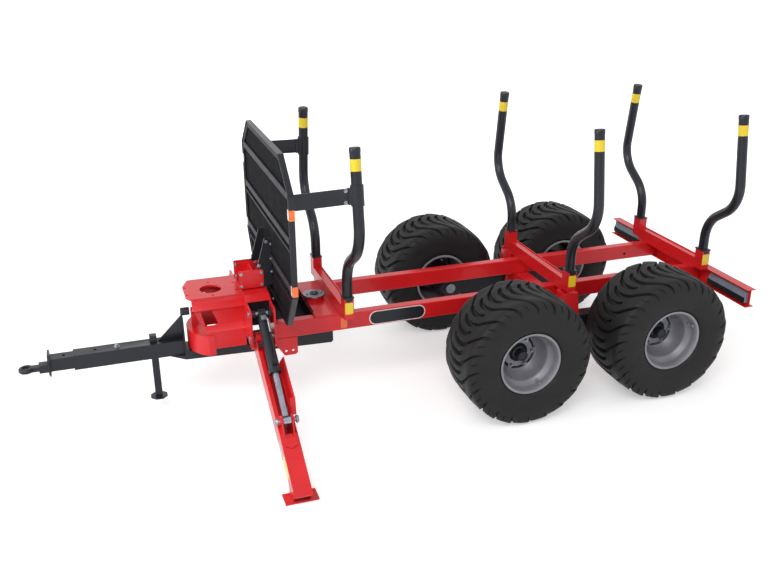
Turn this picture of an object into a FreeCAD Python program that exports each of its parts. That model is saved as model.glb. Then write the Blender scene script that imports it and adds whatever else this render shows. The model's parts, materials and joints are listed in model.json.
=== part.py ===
"""Forestry trailer with a crane stand, two stabiliser legs and a steered drawbar.

+X points forward along the drawbar, +Y to the left, +Z up, and the tyres stand on Z = 0.
Lengths are in millimetres. Places along X are first measured from the middle of the bogie,
and every sub-part is then shifted so that the origin lies under the middle of the trailer.
"""
import FreeCAD, Part
import math
import os
import Sketcher
from FreeCAD import Placement, Rotation, Vector

SIZES = {
    # ground gear
    "wheelbase": 1121,
    "tyre_radius": 472.5,
    "tyre_width": 480,
    "tyre_mid": 807,
    "tyre_wall": 22,
    "tread_pitches": 20,
    "tread_depth": 18,
    "tread_row": 90,
    "tread_flat": 75,
    "tread_slope": 0.95,
    "rim_radius": 214,
    "rim_flange": 11,
    "rim_width": 427,
    "rim_wall": 8,
    "disc_offset": 13,
    "disc_thickness": 10,
    "bowl_depth": 105,
    "bowl_radius": 172,
    "plate_radius": 126,
    "hub_radius": 78,
    "hub_cap_radius": 40,
    "hub_tip": 78,
    "axle_radius": 30,
    "walking_beam_mid": 475,
    "walking_beam_width": 110,
    "walking_beam_height": 130,
    "cheek_thickness": 12,
    "cheek_width": 150,
    "bogie_pin_radius": 35,
    # load frame
    "rail_bottom": 598,
    "rail_height": 119,
    "rail_width": 72,
    "rail_wall": 6,
    "rail_outer": 328.5,
    "beam_height": 140,
    "beam_flange_width": 73,
    "beam_flange_thickness": 7,
    "beam_web_thickness": 6,
    "beam_half_length": 915,
    "rear_beam_gap": 16,
    "lamp_length": 430,
    "lamp_height": 84,
    # bolsters and stakes
    "bolster_width": 68,
    "bolster_height": 98,
    "bolster_wall": 6,
    "bolster_front_x": 1680,
    "bolster_rear_x": -1200,
    "stake_base": 425,
    "middle_stake_extra": 60,
    "socket_width": 68,
    "socket_depth": 90,
    "socket_height": 155,
    "socket_drop": 18,
    "collar_height": 8,
    "stake_radius": 36,
    "spigot_radius": 27,
    "stake_wall": 4,
    "stake_top": 1980,
    "stake_swing_out": 328,
    "stake_lean_in": 92,
    "stake_bend_low": 1120,
    "stake_bend_high": 1337,
    "stake_bend_radius": 247,
    # headboard
    "headboard_x": 2115,
    "headboard_depth": 30,
    "headboard_half_width": 770,
    "headboard_top": 1942,
    "headboard_bottom": 800,
    "headboard_bar": 40,
    "headboard_top_chamfer_y": 240,
    "headboard_top_chamfer_z": 200,
    "headboard_low_chamfer_y": 205,
    "headboard_low_chamfer_z": 275,
    "grille_bar": 8,
    "grille_pitch": 32,
    "arm_height": 104,
    "arm_thickness": 10,
    "arm_z": 1686,
    "clamp_wall": 7,
    "clamp_reach": 52,
    "clamp_lug": 36,
    "clamp_proud": 15,
    # pivot of the drawbar
    "king_pin_x": 1810,
    "king_pin_radius": 35,
    "king_cap_radius": 78,
    "king_cap_thickness": 12,
    "king_ring_height": 24,
    "pivot_plate_thickness": 12,
    "pivot_plate_front": 1885,
    # crane stand and leg frame
    "stand_front": 2700,
    "stand_top": 900,
    "stand_wall": 8,
    "stand_half_width": 212,
    "stand_bottom": 535,
    "stand_waist": 174,
    "stand_nose_x": 2735,
    "stand_nose_depth": 123,
    "stand_cheek_length": 45,
    "stand_nose_bottom": 492,
    "stand_nose_top": 640,
    "flange_thickness": 14,
    "flange_left": 152,
    "flange_right": 212,
    "flange_tip_half": 98,
    "flange_front": 2731,
    "flange_hole_x": 2547,
    "flange_hole_radius": 75,
    "flange_bolt_radius": 9,
    "flange_bolt_length": 338,
    "flange_bolt_width": 140,
    "flange_side_bolts": 240,
    "leg_frame_front": 2352,
    "leg_frame_plate": 14,
    "leg_slot": 146,
    "leg_frame_bottom": 600,
    "leg_frame_half_width": 415,
    "leg_frame_cover": 6,
    "leg_frame_foot": 85,
    "leg_frame_corner": 18,
    "leg_frame_slope_start": 210,
    "leg_frame_slope_end": 115,
    "leg_frame_slope_drop": 32,
    "leg_frame_roof_share": 0.78,
    "clamp_half_width": 100,
    "clamp_height": 127,
    # lugs under the rails' front ends
    "lug_length": 160,
    "lug_drop": 134,
    "lug_thickness": 10,
    "lug_corner": 14,
    "lug_nose_length": 66,
    "lug_nose_height": 80,
    "lug_hole_radius": 9,
    "lug_hole_inset": 12,
    "lug_hole_rise": 32,
    "lug_hole_pitch": 49,
    # stabiliser legs
    "leg_pivot_y": 350,
    "leg_pivot_z": 640,
    "leg_width": 116,
    "leg_wall": 8,
    "leg_rise": 32,
    "leg_drop": 96,
    "leg_heel": 30,
    "leg_bevel": 15,
    "leg_taper": 25,
    "leg_kink": 852,
    "leg_roof_start": 800,
    "leg_tip_length": 40,
    "leg_pin_radius": 20,
    "pin_head": 8,
    "leg_boss_radius": 38,
    "ear_y": 732,
    "ear_z": 81,
    "ear_radius": 36,
    "ear_inner": 28,
    "ear_thickness": 10,
    "guard_start": 270,
    "guard_end": 600,
    "guard_end_length": 66,
    "guard_height": 86,
    "guard_lean": 24,
    "leg_lip": 28,
    "foot_out": 992,
    "foot_length": 210,
    "foot_width": 110,
    "foot_thickness": 14,
    "foot_web_length": 88,
    "foot_web_height": 50,
    "foot_offset_angle": 5.33,
    "ram_pin_y": 360,
    "ram_pin_z": 824,
    "ram_pin_radius": 15,
    "ram_radius": 36,
    "ram_barrel_length": 470,
    "ram_eye_radius": 30,
    "rod_radius": 20,
    "rod_length": 400,
    "ram_eye_width": 50,
    # drawbar
    "drawbar_half_width": 145,
    "drawbar_front_half": 85,
    "drawbar_corner": 14,
    "drawbar_bottom": 424,
    "drawbar_low_top": 485,
    "drawbar_high_top": 588,
    "drawbar_rear": 1713,
    "drawbar_step": 2150,
    "drawbar_wall": 8,
    "post_x": 2757,
    "post_thickness": 10,
    "post_top": 730,
    "post_top_half_width": 50,
    "boss_radius": 28,
    "boss_z": 756,
    "boss_length": 50,
    "lock_gap": 10,
    "lock_length": 42,
    "gusset_length": 172,
    "gusset_thickness": 12,
    "tube_front": 3505,
    "tube_bottom": 453,
    "tube_height": 107,
    "tube_width": 110,
    "tube_wall": 8,
    "nose_front": 2870,
    "slide_gap": 1,
    "slide_length": 560,
    "slide_front": 3655,
    "hitch_plate_half": 78,
    "hitch_plate_thickness": 14,
    "eye_x": 3813,
    "eye_z": 481,
    "eye_outer_radius": 50,
    "eye_bore_radius": 25,
    "eye_thickness": 32,
    "shank_width": 70,
    "shank_height": 56,
    "lock_bolt_x": 3215,
    "lock_bolt_radius": 11,
    "tube_hole_x": 3360,
    "tube_hole_pitch": 180,
    # prop stand of the drawbar
    "prop_x": 2970,
    "prop_width": 48,
    "prop_wall": 5,
    "prop_top": 612,
    "prop_foot_z": 130,
    "prop_foot_radius": 62,
    "prop_foot_thickness": 8,
    # clearances
    "fit_gap": 0.3,
}

doc = FreeCAD.newDocument("ForestryTrailer")
nodes = {}
body_base = {}


# ---------------------------------------------------------------- sizes and expressions
class Dim:
    """A number together with the sheet expression that it comes from."""

    def __init__(self, value, text):
        self.value = float(value)
        self.text = text

    def __add__(self, other):
        other = dim(other)
        return Dim(self.value + other.value, "(" + self.text + " + " + other.text + ")")

    def __radd__(self, other):
        return dim(other) + self

    def __sub__(self, other):
        other = dim(other)
        return Dim(self.value - other.value, "(" + self.text + " - " + other.text + ")")

    def __rsub__(self, other):
        return dim(other) - self

    def __mul__(self, other):
        other = dim(other)
        return Dim(self.value * other.value, "(" + self.text + " * " + other.text + ")")

    def __rmul__(self, other):
        return dim(other) * self

    def __truediv__(self, other):
        other = dim(other)
        return Dim(self.value / other.value, "(" + self.text + " / " + other.text + ")")

    def __neg__(self):
        return Dim(-self.value, "(-1 * " + self.text + ")")


def dim(value):
    """A plain number becomes a Dim without a sheet cell."""
    return value if isinstance(value, Dim) else Dim(value, repr(float(value)))


def sine(angle):
    return Dim(math.sin(math.radians(angle.value)), "sin(" + angle.text + " * 1 deg)")


def cosine(angle):
    return Dim(math.cos(math.radians(angle.value)), "cos(" + angle.text + " * 1 deg)")


def bearing(across, up):
    """The angle in degrees of the direction (across, up)."""
    text = "(atan2(" + up.text + "; " + across.text + ") / 1 deg)"
    return Dim(math.degrees(math.atan2(up.value, across.value)), text)


class Sheet:
    """The driving sizes as attributes, each one bound to its cell."""


def make_sheet():
    sheet = doc.addObject("Spreadsheet::Sheet", "Sizes")
    sizes = Sheet()
    for row, (alias, value) in enumerate(SIZES.items(), start=1):
        sheet.set("A" + str(row), alias)
        sheet.set("B" + str(row), str(value))
        sheet.setAlias("B" + str(row), alias)
        setattr(sizes, alias, Dim(value, "Sizes." + alias))
    doc.recompute()
    return sizes


S = make_sheet()


def bind(obj, name, size):
    """Ties one property of an object to the expression of a size."""
    size = dim(size)
    if "Sizes." in size.text:
        obj.setExpression(name, size.text)


def set_length(obj, name, size):
    setattr(obj, name, dim(size).value)
    bind(obj, name, size)


def set_base(obj, base):
    """Places an object at a point given by three sizes."""
    x, y, z = [dim(value) for value in base]
    obj.Placement.Base = Vector(x.value, y.value, z.value)
    bind(obj, "Placement.Base.x", x)
    bind(obj, "Placement.Base.y", y)
    bind(obj, "Placement.Base.z", z)


# ---------------------------------------------------------------- outlines
def spread(mid, half):
    """A span that reaches as far on both sides of its middle."""
    return mid - half, mid + half


def rectangle(u_span, v_span):
    (u_low, u_high), (v_low, v_high) = u_span, v_span
    return [(u_low, v_low), (u_high, v_low), (u_high, v_high), (u_low, v_high)]


def square(mid_u, mid_v, width):
    return rectangle(spread(mid_u, width / 2), spread(mid_v, width / 2))


# ---------------------------------------------------------------- solid builders
def origin_plane(body, role):
    return [plane for plane in body.Origin.OriginFeatures if plane.Role == role][0]


def draw_polygon(sketch, outline):
    """A closed outline whose every corner is dimensioned from the sketch's origin."""
    corners = [(dim(u), dim(v)) for u, v in outline]
    count = len(corners)
    first = sketch.GeometryCount
    for index in range(count):
        (u0, v0), (u1, v1) = corners[index], corners[(index + 1) % count]
        line = Part.LineSegment(Vector(u0.value, v0.value, 0), Vector(u1.value, v1.value, 0))
        sketch.addGeometry(line, False)
    for index in range(count):
        this, following = first + index, first + (index + 1) % count
        sketch.addConstraint(Sketcher.Constraint("Coincident", this, 2, following, 1))
    for index, (u, v) in enumerate(corners):
        for kind, size in (("DistanceX", u), ("DistanceY", v)):
            number = sketch.addConstraint(Sketcher.Constraint(kind, -1, 1, first + index, 1, size.value))
            bind(sketch, "Constraints[" + str(number) + "]", size)


def draw_circle(sketch, u, v, radius):
    u, v, radius = dim(u), dim(v), dim(radius)
    index = sketch.addGeometry(Part.Circle(Vector(u.value, v.value, 0), Vector(0, 0, 1), radius.value), False)
    for kind, size in (("DistanceX", u), ("DistanceY", v)):
        number = sketch.addConstraint(Sketcher.Constraint(kind, -1, 1, index, 3, size.value))
        bind(sketch, "Constraints[" + str(number) + "]", size)
    number = sketch.addConstraint(Sketcher.Constraint("Radius", index, radius.value))
    bind(sketch, "Constraints[" + str(number) + "]", radius)


def draw_loops(sketch, loops):
    for loop in loops:
        if isinstance(loop, tuple):
            draw_circle(sketch, *loop)
        else:
            draw_polygon(sketch, loop)


def new_sketch(label, plane):
    body = doc.addObject("PartDesign::Body", label + "_body")
    sketch = body.newObject("Sketcher::SketchObject", label + "_sketch")
    sketch.AttachmentSupport = [(origin_plane(body, plane + "_Plane"), "")]
    sketch.MapMode = "FlatFace"
    return body, sketch


def plate(label, plane, loops, span):
    """Pads loops drawn in a plane (XY, XZ or YZ) between two places along the third axis."""
    low, high = [dim(value) for value in span]
    body, sketch = new_sketch(label, plane)
    draw_loops(sketch, loops)
    pad = body.newObject("PartDesign::Pad", label + "_pad")
    pad.Profile = sketch
    pad.Midplane = True
    set_length(pad, "Length", high - low)
    middle = (low + high) / 2
    base = {"XY": (0, 0, middle), "XZ": (0, middle, 0), "YZ": (middle, 0, 0)}[plane]
    set_base(body, base)
    body.Label = label
    body_base[body.Name] = base
    return body


def turned(label, axis, outline, at):
    """Turns an outline of (radius, place along the axis) about an axis through a point."""
    plane = {"X": "XY", "Y": "XY", "Z": "XZ"}[axis]
    body, sketch = new_sketch(label, plane)
    if axis == "X":
        outline = [(along, radius) for radius, along in outline]
    draw_polygon(sketch, outline)
    turn = body.newObject("PartDesign::Revolution", label + "_turn")
    turn.Profile = sketch
    turn.ReferenceAxis = (sketch, ["H_Axis" if axis == "X" else "V_Axis"])
    turn.Angle = 360
    set_base(body, at)
    body.Label = label
    body_base[body.Name] = at
    return body


def rod(label, axis, radius, span, at=(0, 0, 0), bore=0):
    """A round bar or a tube along an axis, between two places on it."""
    low, high = span
    return turned(label, axis, [(bore, low), (radius, low), (radius, high), (bore, high)], at)


def box(label, x_span, y_span, z_span):
    block = doc.addObject("Part::Box", label)
    for name, span in (("Length", x_span), ("Width", y_span), ("Height", z_span)):
        set_length(block, name, dim(span[1]) - dim(span[0]))
    set_base(block, (x_span[0], y_span[0], z_span[0]))
    body_base[block.Name] = (x_span[0], y_span[0], z_span[0])
    return block


def fuse(label, *pieces):
    joined = doc.addObject("Part::MultiFuse", label + "_fuse")
    joined.Shapes = list(pieces)
    joined.Refine = True
    return joined


def cut(label, base, *tools):
    tool = tools[0] if len(tools) == 1 else fuse(label + "_tools", *tools)
    result = doc.addObject("Part::Cut", label + "_cut")
    result.Base = base
    result.Tool = tool
    result.Refine = True
    return result


def pair(label, *pieces):
    """Like pieces on one body that don't touch, kept as one sub-part."""
    group = doc.addObject("Part::Compound", label + "_group")
    group.Links = list(pieces)
    return group


def mirrored(label, source):
    """The same piece on the other side of the trailer's middle plane."""
    copy = doc.addObject("Part::Mirroring", label + "_mirror")
    copy.Source = source
    copy.Normal = Vector(0, 1, 0)
    return copy


def twin(label, source):
    """The same piece on the other side of its own X = 0 plane."""
    copy = mirrored(label, source)
    copy.Normal = Vector(1, 0, 0)
    return copy


def node(label, obj, shift=True):
    """Names a finished sub-part and shifts it from the bogie's origin to the trailer's."""
    if shift:
        x, y, z = body_base.get(obj.Name, (0, 0, 0))
        set_base(obj, (dim(x) + frame_shift(), y, z))
    obj.Label = label
    nodes[label] = obj
    return obj


def frame_shift():
    """From the middle of the bogie to the middle of the whole length."""
    front = S.eye_x + S.eye_outer_radius
    rear = rear_beam_x() - S.beam_flange_width / 2
    return -(front + rear) / 2


def both_sides(points):
    """Closes a half outline, given from the middle up its +Y side, with its mirror image."""
    return points + [(-dim(u), v) for u, v in reversed(points) if dim(u).value != 0]


# ---------------------------------------------------------------- derived places
def rail_top():
    return S.rail_bottom + S.rail_height


def rear_beam_x():
    return S.bolster_rear_x - S.bolster_width / 2 - S.rear_beam_gap - S.beam_flange_width / 2


def rail_rear():
    """The rails end between the rear beam's flanges, against its web."""
    return rear_beam_x() + S.beam_web_thickness / 2 + S.fit_gap


def rail_front():
    """The rails butt against the leg frame."""
    return leg_frame_rear() - S.fit_gap


def axle_z():
    return S.tyre_radius


# ---------------------------------------------------------------- load frame
def make_rails():
    inner = S.rail_outer - S.rail_width
    outer_loop = rectangle((inner, S.rail_outer), (S.rail_bottom, rail_top()))
    wall = S.rail_wall
    inner_loop = [
        (inner + wall, S.rail_bottom + wall),
        (S.rail_outer - wall, S.rail_bottom + wall),
        (S.rail_outer - wall, rail_top() - wall),
        (inner + wall, rail_top() - wall),
    ]
    rail = plate("rail", "YZ", [outer_loop, inner_loop], (rail_rear(), rail_front()))
    node("rail_left", rail)
    node("rail_right", mirrored("rail_right", rail), shift=False)


def make_rear_beam():
    half_height = S.beam_height / 2
    half_flange = S.beam_flange_width / 2
    half_web = S.beam_web_thickness / 2
    web_end = half_height - S.beam_flange_thickness
    mid_z = S.rail_bottom + S.rail_height / 2
    mid_x = rear_beam_x()
    quarter = [(half_flange, half_height), (half_flange, web_end), (half_web, web_end)]
    right = quarter + [(u, -v) for u, v in reversed(quarter)]
    left = [(-u, -v) for u, v in right]
    outline = [(mid_x + u, mid_z + v) for u, v in right + left]
    beam = plate("rear_beam", "XZ", [outline], (-S.beam_half_length, S.beam_half_length))
    node("rear_beam", beam)


def make_lamps():
    """Lamp covers in the front recess of the rear beam, and the lamps in its rear recess."""
    mid_z = S.rail_bottom + S.rail_height / 2
    half_web = S.beam_web_thickness / 2
    high = mid_z + S.lamp_height / 2
    low = mid_z - S.lamp_height / 2
    outer = S.beam_half_length - 25
    inner = outer - S.lamp_length
    front_face = rear_beam_x() + half_web
    edge = rear_beam_x() + S.beam_flange_width / 2
    cover_loop = [
        (front_face, low),
        (edge - 6, low),
        (edge - 6, mid_z),
        (front_face + 6, high),
        (front_face, high),
    ]
    cover = plate("lamp_cover", "XZ", [cover_loop], (inner, outer))
    node("lamp_covers", pair("lamp_covers", cover, mirrored("lamp_cover_right", cover)))
    rear_face = rear_beam_x() - half_web
    lamp_rear = rear_beam_x() - S.beam_flange_width / 2 + 8
    lamp = box("tail_lamp", (lamp_rear, rear_face), (outer - S.lamp_length / 2, outer), (low, high))
    node("tail_lamps", pair("tail_lamps", lamp, mirrored("tail_lamp_right", lamp)))


def make_bolster(label, mid_x, stake_y):
    """A channel, open on top, with a square socket on each end."""
    low, high = rail_top(), rail_top() + S.bolster_height
    half = S.bolster_width / 2
    wall = S.bolster_wall
    inner_end = stake_y - S.socket_depth / 2
    channel = [
        (mid_x - half, low),
        (mid_x + half, low),
        (mid_x + half, high),
        (mid_x + half - wall, high),
        (mid_x + half - wall, low + wall),
        (mid_x - half + wall, low + wall),
        (mid_x - half + wall, high),
        (mid_x - half, high),
    ]
    pieces = [plate(label + "_channel", "XZ", [channel], (-inner_end, inner_end))]
    for side, name in ((1, "left"), (-1, "right")):
        pieces.append(make_socket(label + "_socket_" + name, mid_x, side * stake_y))
    node(label, fuse(label, *pieces))


def socket_bottom():
    return rail_top() + S.socket_drop


def socket_top():
    return socket_bottom() + S.socket_height


def make_socket(label, mid_x, mid_y):
    floor_top = socket_bottom() + S.bolster_wall
    half_x, half_y = S.socket_width / 2, S.socket_depth / 2
    wall = S.bolster_wall
    outer = rectangle(spread(mid_x, half_x), spread(mid_y, half_y))
    inner = rectangle(spread(mid_x, half_x - wall), spread(mid_y, half_y - wall))
    walls = plate(label + "_wall", "XY", [outer, inner], (floor_top, socket_top()))
    floor = plate(label + "_floor", "XY", [outer], (socket_bottom(), floor_top))
    return fuse(label, walls, floor)


def bent_path(points, radius):
    """A wire through points, with its inner corners rounded by tangent arcs."""
    edges = []
    start = points[0]
    for before, corner, after in zip(points, points[1:], points[2:]):
        back = (before - corner).normalize()
        ahead = (after - corner).normalize()
        half_turn = back.getAngle(ahead) / 2
        reach = radius / math.tan(half_turn)
        arc_start = corner + back * reach
        arc_end = corner + ahead * reach
        middle = corner + (back + ahead).normalize() * (radius / math.sin(half_turn) - radius)
        edges.append(Part.makeLine(start, arc_start))
        edges.append(Part.Arc(arc_start, middle, arc_end).toShape())
        start = arc_end
    edges.append(Part.makeLine(start, points[-1]))
    return Part.Wire(edges)


def pipe_along(path, radius):
    start = path.OrderedEdges[0]
    point = start.valueAt(start.FirstParameter)
    ring = Part.Wire(Part.makeCircle(radius, point, start.tangentAt(start.FirstParameter)))
    return path.makePipeShell([ring], True, True)


def stake_points(side, stake_y):
    low = socket_top().value
    out_y = (stake_y + S.stake_swing_out).value
    top_y = out_y - S.stake_lean_in.value
    heights = (low, S.stake_bend_low.value, S.stake_bend_high.value, S.stake_top.value)
    across = (stake_y.value, stake_y.value, out_y, top_y)
    return [Vector(0, side * y, z) for y, z in zip(across, heights)]


def make_stake(label, mid_x, side, stake_y):
    """A bent round tube, capped on top, on a collar and a spigot that stands in its socket."""
    points = stake_points(side, stake_y)
    radius = S.stake_bend_radius.value
    wall = S.stake_wall.value
    outer = pipe_along(bent_path(points, radius), S.stake_radius.value)
    lean = (points[3] - points[2]).normalize()
    inner_points = points[:3] + [points[3] - lean * wall]
    inner = pipe_along(bent_path(inner_points, radius), S.stake_radius.value - wall)
    foot = points[0]
    height = S.collar_height.value
    width, depth = S.socket_width.value + height, S.socket_depth.value + height
    collar = Part.makeBox(width, depth, height)
    collar.translate(Vector(-width / 2, foot.y - depth / 2, foot.z))
    spigot_low = (socket_bottom() + S.bolster_wall).value
    reach = foot.z + height - spigot_low
    spigot = Part.makeCylinder(S.spigot_radius.value, reach, Vector(0, foot.y, spigot_low))
    bore = Part.makeCylinder(S.spigot_radius.value - wall, reach, Vector(0, foot.y, spigot_low))
    stake = doc.addObject("Part::Feature", label + "_tube")
    tube = outer.cut(inner)
    stake.Shape = tube.fuse([collar, spigot]).cut(bore).removeSplitter()
    body_base[stake.Name] = (mid_x, 0, 0)
    node(label, stake)


def make_bolsters_and_stakes():
    middle_y = S.stake_base + S.middle_stake_extra
    rows = (
        ("front", S.bolster_front_x, S.stake_base),
        ("middle", dim(0), middle_y),
        ("rear", S.bolster_rear_x, S.stake_base),
    )
    for name, mid_x, stake_y in rows:
        make_bolster("bolster_" + name, mid_x, stake_y)
        for side, side_name in ((1, "left"), (-1, "right")):
            make_stake("stake_" + name + "_" + side_name, mid_x, side, stake_y)


# ---------------------------------------------------------------- headboard
def headboard_loop(inset):
    """Half of the eight-sided outline, moved inwards by a bar's width."""
    half = S.headboard_half_width
    top, bottom = S.headboard_top, S.headboard_bottom
    cut_share = 0.45
    return both_sides([
        (dim(0), bottom + inset),
        (half - S.headboard_low_chamfer_y - inset * cut_share, bottom + inset),
        (half - inset, bottom + S.headboard_low_chamfer_z + inset * cut_share),
        (half - inset, top - S.headboard_top_chamfer_z - inset * cut_share),
        (half - S.headboard_top_chamfer_y - inset * cut_share, top - inset),
        (dim(0), top - inset),
    ])


def make_headboard():
    """An eight-sided frame filled with upright bars, and three level bars in front of them."""
    half_depth = S.headboard_depth / 2
    rear, front = S.headboard_x - half_depth, S.headboard_x + half_depth
    loops = [headboard_loop(dim(0)), headboard_loop(S.headboard_bar)]
    rim = plate("headboard_rim", "YZ", loops, (rear, front))
    pieces = [rim]
    bar = S.grille_bar
    count = int((S.headboard_half_width - S.headboard_bar).value // S.grille_pitch.value)
    overlap = S.headboard_bar / 2
    for index in range(-count, count + 1):
        y = index * S.grille_pitch
        reach = abs(index) * S.grille_pitch.value
        half = S.headboard_half_width
        high, low = S.headboard_top - overlap, S.headboard_bottom + overlap
        top_start = half - S.headboard_top_chamfer_y
        low_start = half - S.headboard_low_chamfer_y
        if reach > top_start.value:
            slope = S.headboard_top_chamfer_z / S.headboard_top_chamfer_y
            high = S.headboard_top - (abs(index) * S.grille_pitch - top_start) * slope - overlap
        if reach > low_start.value:
            slope = S.headboard_low_chamfer_z / S.headboard_low_chamfer_y
            low = S.headboard_bottom + (abs(index) * S.grille_pitch - low_start) * slope + overlap
        pieces.append(box("grille_bar", spread(S.headboard_x, bar / 2), spread(y, bar / 2), (low, high)))
    for share in (0.2, 0.5, 0.8):
        z = S.headboard_bottom + (S.headboard_top - S.headboard_bottom) * share
        reach = S.headboard_half_width - S.headboard_bar / 2
        if share == 0.2:
            reach = reach - 40
        level = (S.headboard_x + bar / 2 - 1, front)
        pieces.append(box("level_bar", level, (-reach, reach), (z - 10, z + 10)))
    node("headboard", fuse("headboard", *pieces))


def make_headboard_brackets():
    """Two upright plates that tie the headboard to the leg frame and its clamp plates."""
    front_face = S.headboard_x + S.headboard_depth / 2
    rear_of_clamp = leg_frame_rear() + 60
    low_z = S.stand_top + S.leg_frame_cover
    loop = [
        (front_face, low_z + 15),
        (leg_frame_rear() + 6, low_z + 8),
        (rear_of_clamp, low_z + 8),
        (rear_of_clamp, low_z + S.clamp_height),
        (front_face + 40, low_z + 360),
        (front_face, low_z + 360),
    ]
    y_in = S.clamp_half_width
    bracket = plate("headboard_bracket", "XZ", [loop], (y_in, y_in + 10))
    group = pair("headboard_brackets", bracket, mirrored("headboard_bracket_right", bracket))
    node("headboard_brackets", group)


def lean_angle():
    """How far the straight top of a stake leans inwards, in degrees."""
    rise = S.stake_top - S.stake_bend_high
    return math.degrees(math.atan2(S.stake_lean_in.value, rise.value))


def stake_y_at(z):
    """The middle of the left front stake's straight top, at a height."""
    out_y = S.stake_base + S.stake_swing_out
    return out_y - S.stake_lean_in * (z - S.stake_bend_high) / (S.stake_top - S.stake_bend_high)


def along_stake(label, radius, length):
    """A round bar about the left front stake, middled on the arm."""
    bar = doc.addObject("Part::Feature", label)
    bar.Shape = Part.makeCylinder(radius.value, length.value, Vector(0, 0, -length.value / 2))
    middle = Vector(S.bolster_front_x.value, stake_y_at(S.arm_z).value, S.arm_z.value)
    bar.Placement = Placement(middle, Rotation(Vector(1, 0, 0), lean_angle()))
    return bar


def make_arms():
    """Plates from the headboard's edge back to sleeves round the front stakes."""
    low, high = spread(S.arm_z, S.arm_height / 2)
    stake_y = stake_y_at(S.arm_z)
    rear_face = S.headboard_x - S.headboard_depth / 2
    clamp_front = S.bolster_front_x + S.clamp_reach
    edge_y = S.headboard_half_width - S.headboard_bar
    thick = S.arm_thickness
    arm_loop = [
        (clamp_front, stake_y),
        (rear_face, edge_y),
        (rear_face, edge_y + thick),
        (clamp_front, stake_y + thick),
    ]
    arm = plate("arm_plate", "XY", [arm_loop], (low, high))
    length = S.arm_height + 2 * S.clamp_proud
    sleeve = along_stake("arm_sleeve", S.stake_radius + S.clamp_wall, length)
    lug_x = (S.bolster_front_x, clamp_front + thick)
    lug = box("arm_lug", lug_x, spread(stake_y + thick / 2, S.clamp_lug / 2), (low, high))
    bore = along_stake("arm_bore", S.stake_radius + S.fit_gap, 2 * length)
    clamp = cut("arm_clamp", fuse("arm_clamp_solid", sleeve, lug), bore)
    left = fuse("arm_left", arm, clamp)
    node("headboard_arms", pair("headboard_arms", left, mirrored("arm_right", left)))


# ---------------------------------------------------------------- pivot of the drawbar
def make_pivot_plates():
    """A plate over the rails and one between them, which hold the king pin."""
    rear = S.bolster_front_x + S.bolster_width / 2 + 1
    hole = S.king_pin_radius + S.fit_gap
    top = rail_top()
    thick = S.pivot_plate_thickness
    inner = S.rail_outer - S.rail_width
    x_span = (rear, S.pivot_plate_front)
    upper_loop = rectangle(x_span, (-S.rail_outer, S.rail_outer))
    lower_loop = rectangle(x_span, (-inner, inner))
    circle = (S.king_pin_x, 0, hole)
    upper = plate("pivot_upper", "XY", [upper_loop, circle], (top, top + thick))
    lower = plate("pivot_lower", "XY", [lower_loop, circle], (S.rail_bottom, S.rail_bottom + thick))
    at = (S.king_pin_x, 0, 0)
    ring_span = (top + thick, top + thick + S.king_ring_height)
    ring = rod("pivot_ring", "Z", S.king_cap_radius - 8, ring_span, at, bore=hole)
    sleeve = rod("pivot_sleeve", "Z", hole + 14, (S.rail_bottom + thick, top), at, bore=hole)
    node("pivot_plates", fuse("pivot_plates", upper, lower, ring, sleeve))


def make_king_pin():
    """The vertical pin, its round cap on top and its collar under the drawbar."""
    cap_low = rail_top() + S.pivot_plate_thickness + S.king_ring_height
    cap_high = cap_low + S.king_cap_thickness
    collar_top = S.drawbar_bottom - S.fit_gap
    collar_low = collar_top - 16
    radius = S.king_pin_radius
    outline = [
        (0, collar_low),
        (radius + 22, collar_low),
        (radius + 22, collar_top),
        (radius, collar_top),
        (radius, cap_low),
        (S.king_cap_radius, cap_low),
        (S.king_cap_radius, cap_high),
        (0, cap_high),
    ]
    node("king_pin", turned("king_pin", "Z", outline, (S.king_pin_x, 0, 0)))


# ---------------------------------------------------------------- crane stand
def leg_frame_rear():
    return S.leg_frame_front - S.leg_slot - 2 * S.leg_frame_plate


def stand_side_loop():
    """One side sheet: skirt, shoulder, waist and the upright wall of the lower box."""
    top = S.stand_top - S.flange_thickness
    half = S.stand_half_width
    waist = S.stand_waist
    wall = S.stand_wall
    bottom = S.stand_bottom
    outer = [
        (S.flange_left, top),
        (S.flange_left, top - 22),
        (half - 12, top - 58),
        (waist + 6, top - 76),
        (waist, top - 186),
        (half - 10, top - 208),
        (half, top - 222),
        (half, bottom),
    ]
    inner = [
        (half - wall, bottom),
        (half - wall, top - 226),
        (half - 16, top - 215),
        (waist - wall, top - 194),
        (waist - wall + 6, top - 80),
        (half - 30, top - 61),
        (S.flange_left - wall, top - 27),
        (S.flange_left - wall, top),
    ]
    return outer + inner


def nose_rear():
    """Where the round nose begins, in front of the side sheets."""
    return S.stand_nose_x - S.stand_nose_depth


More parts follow.
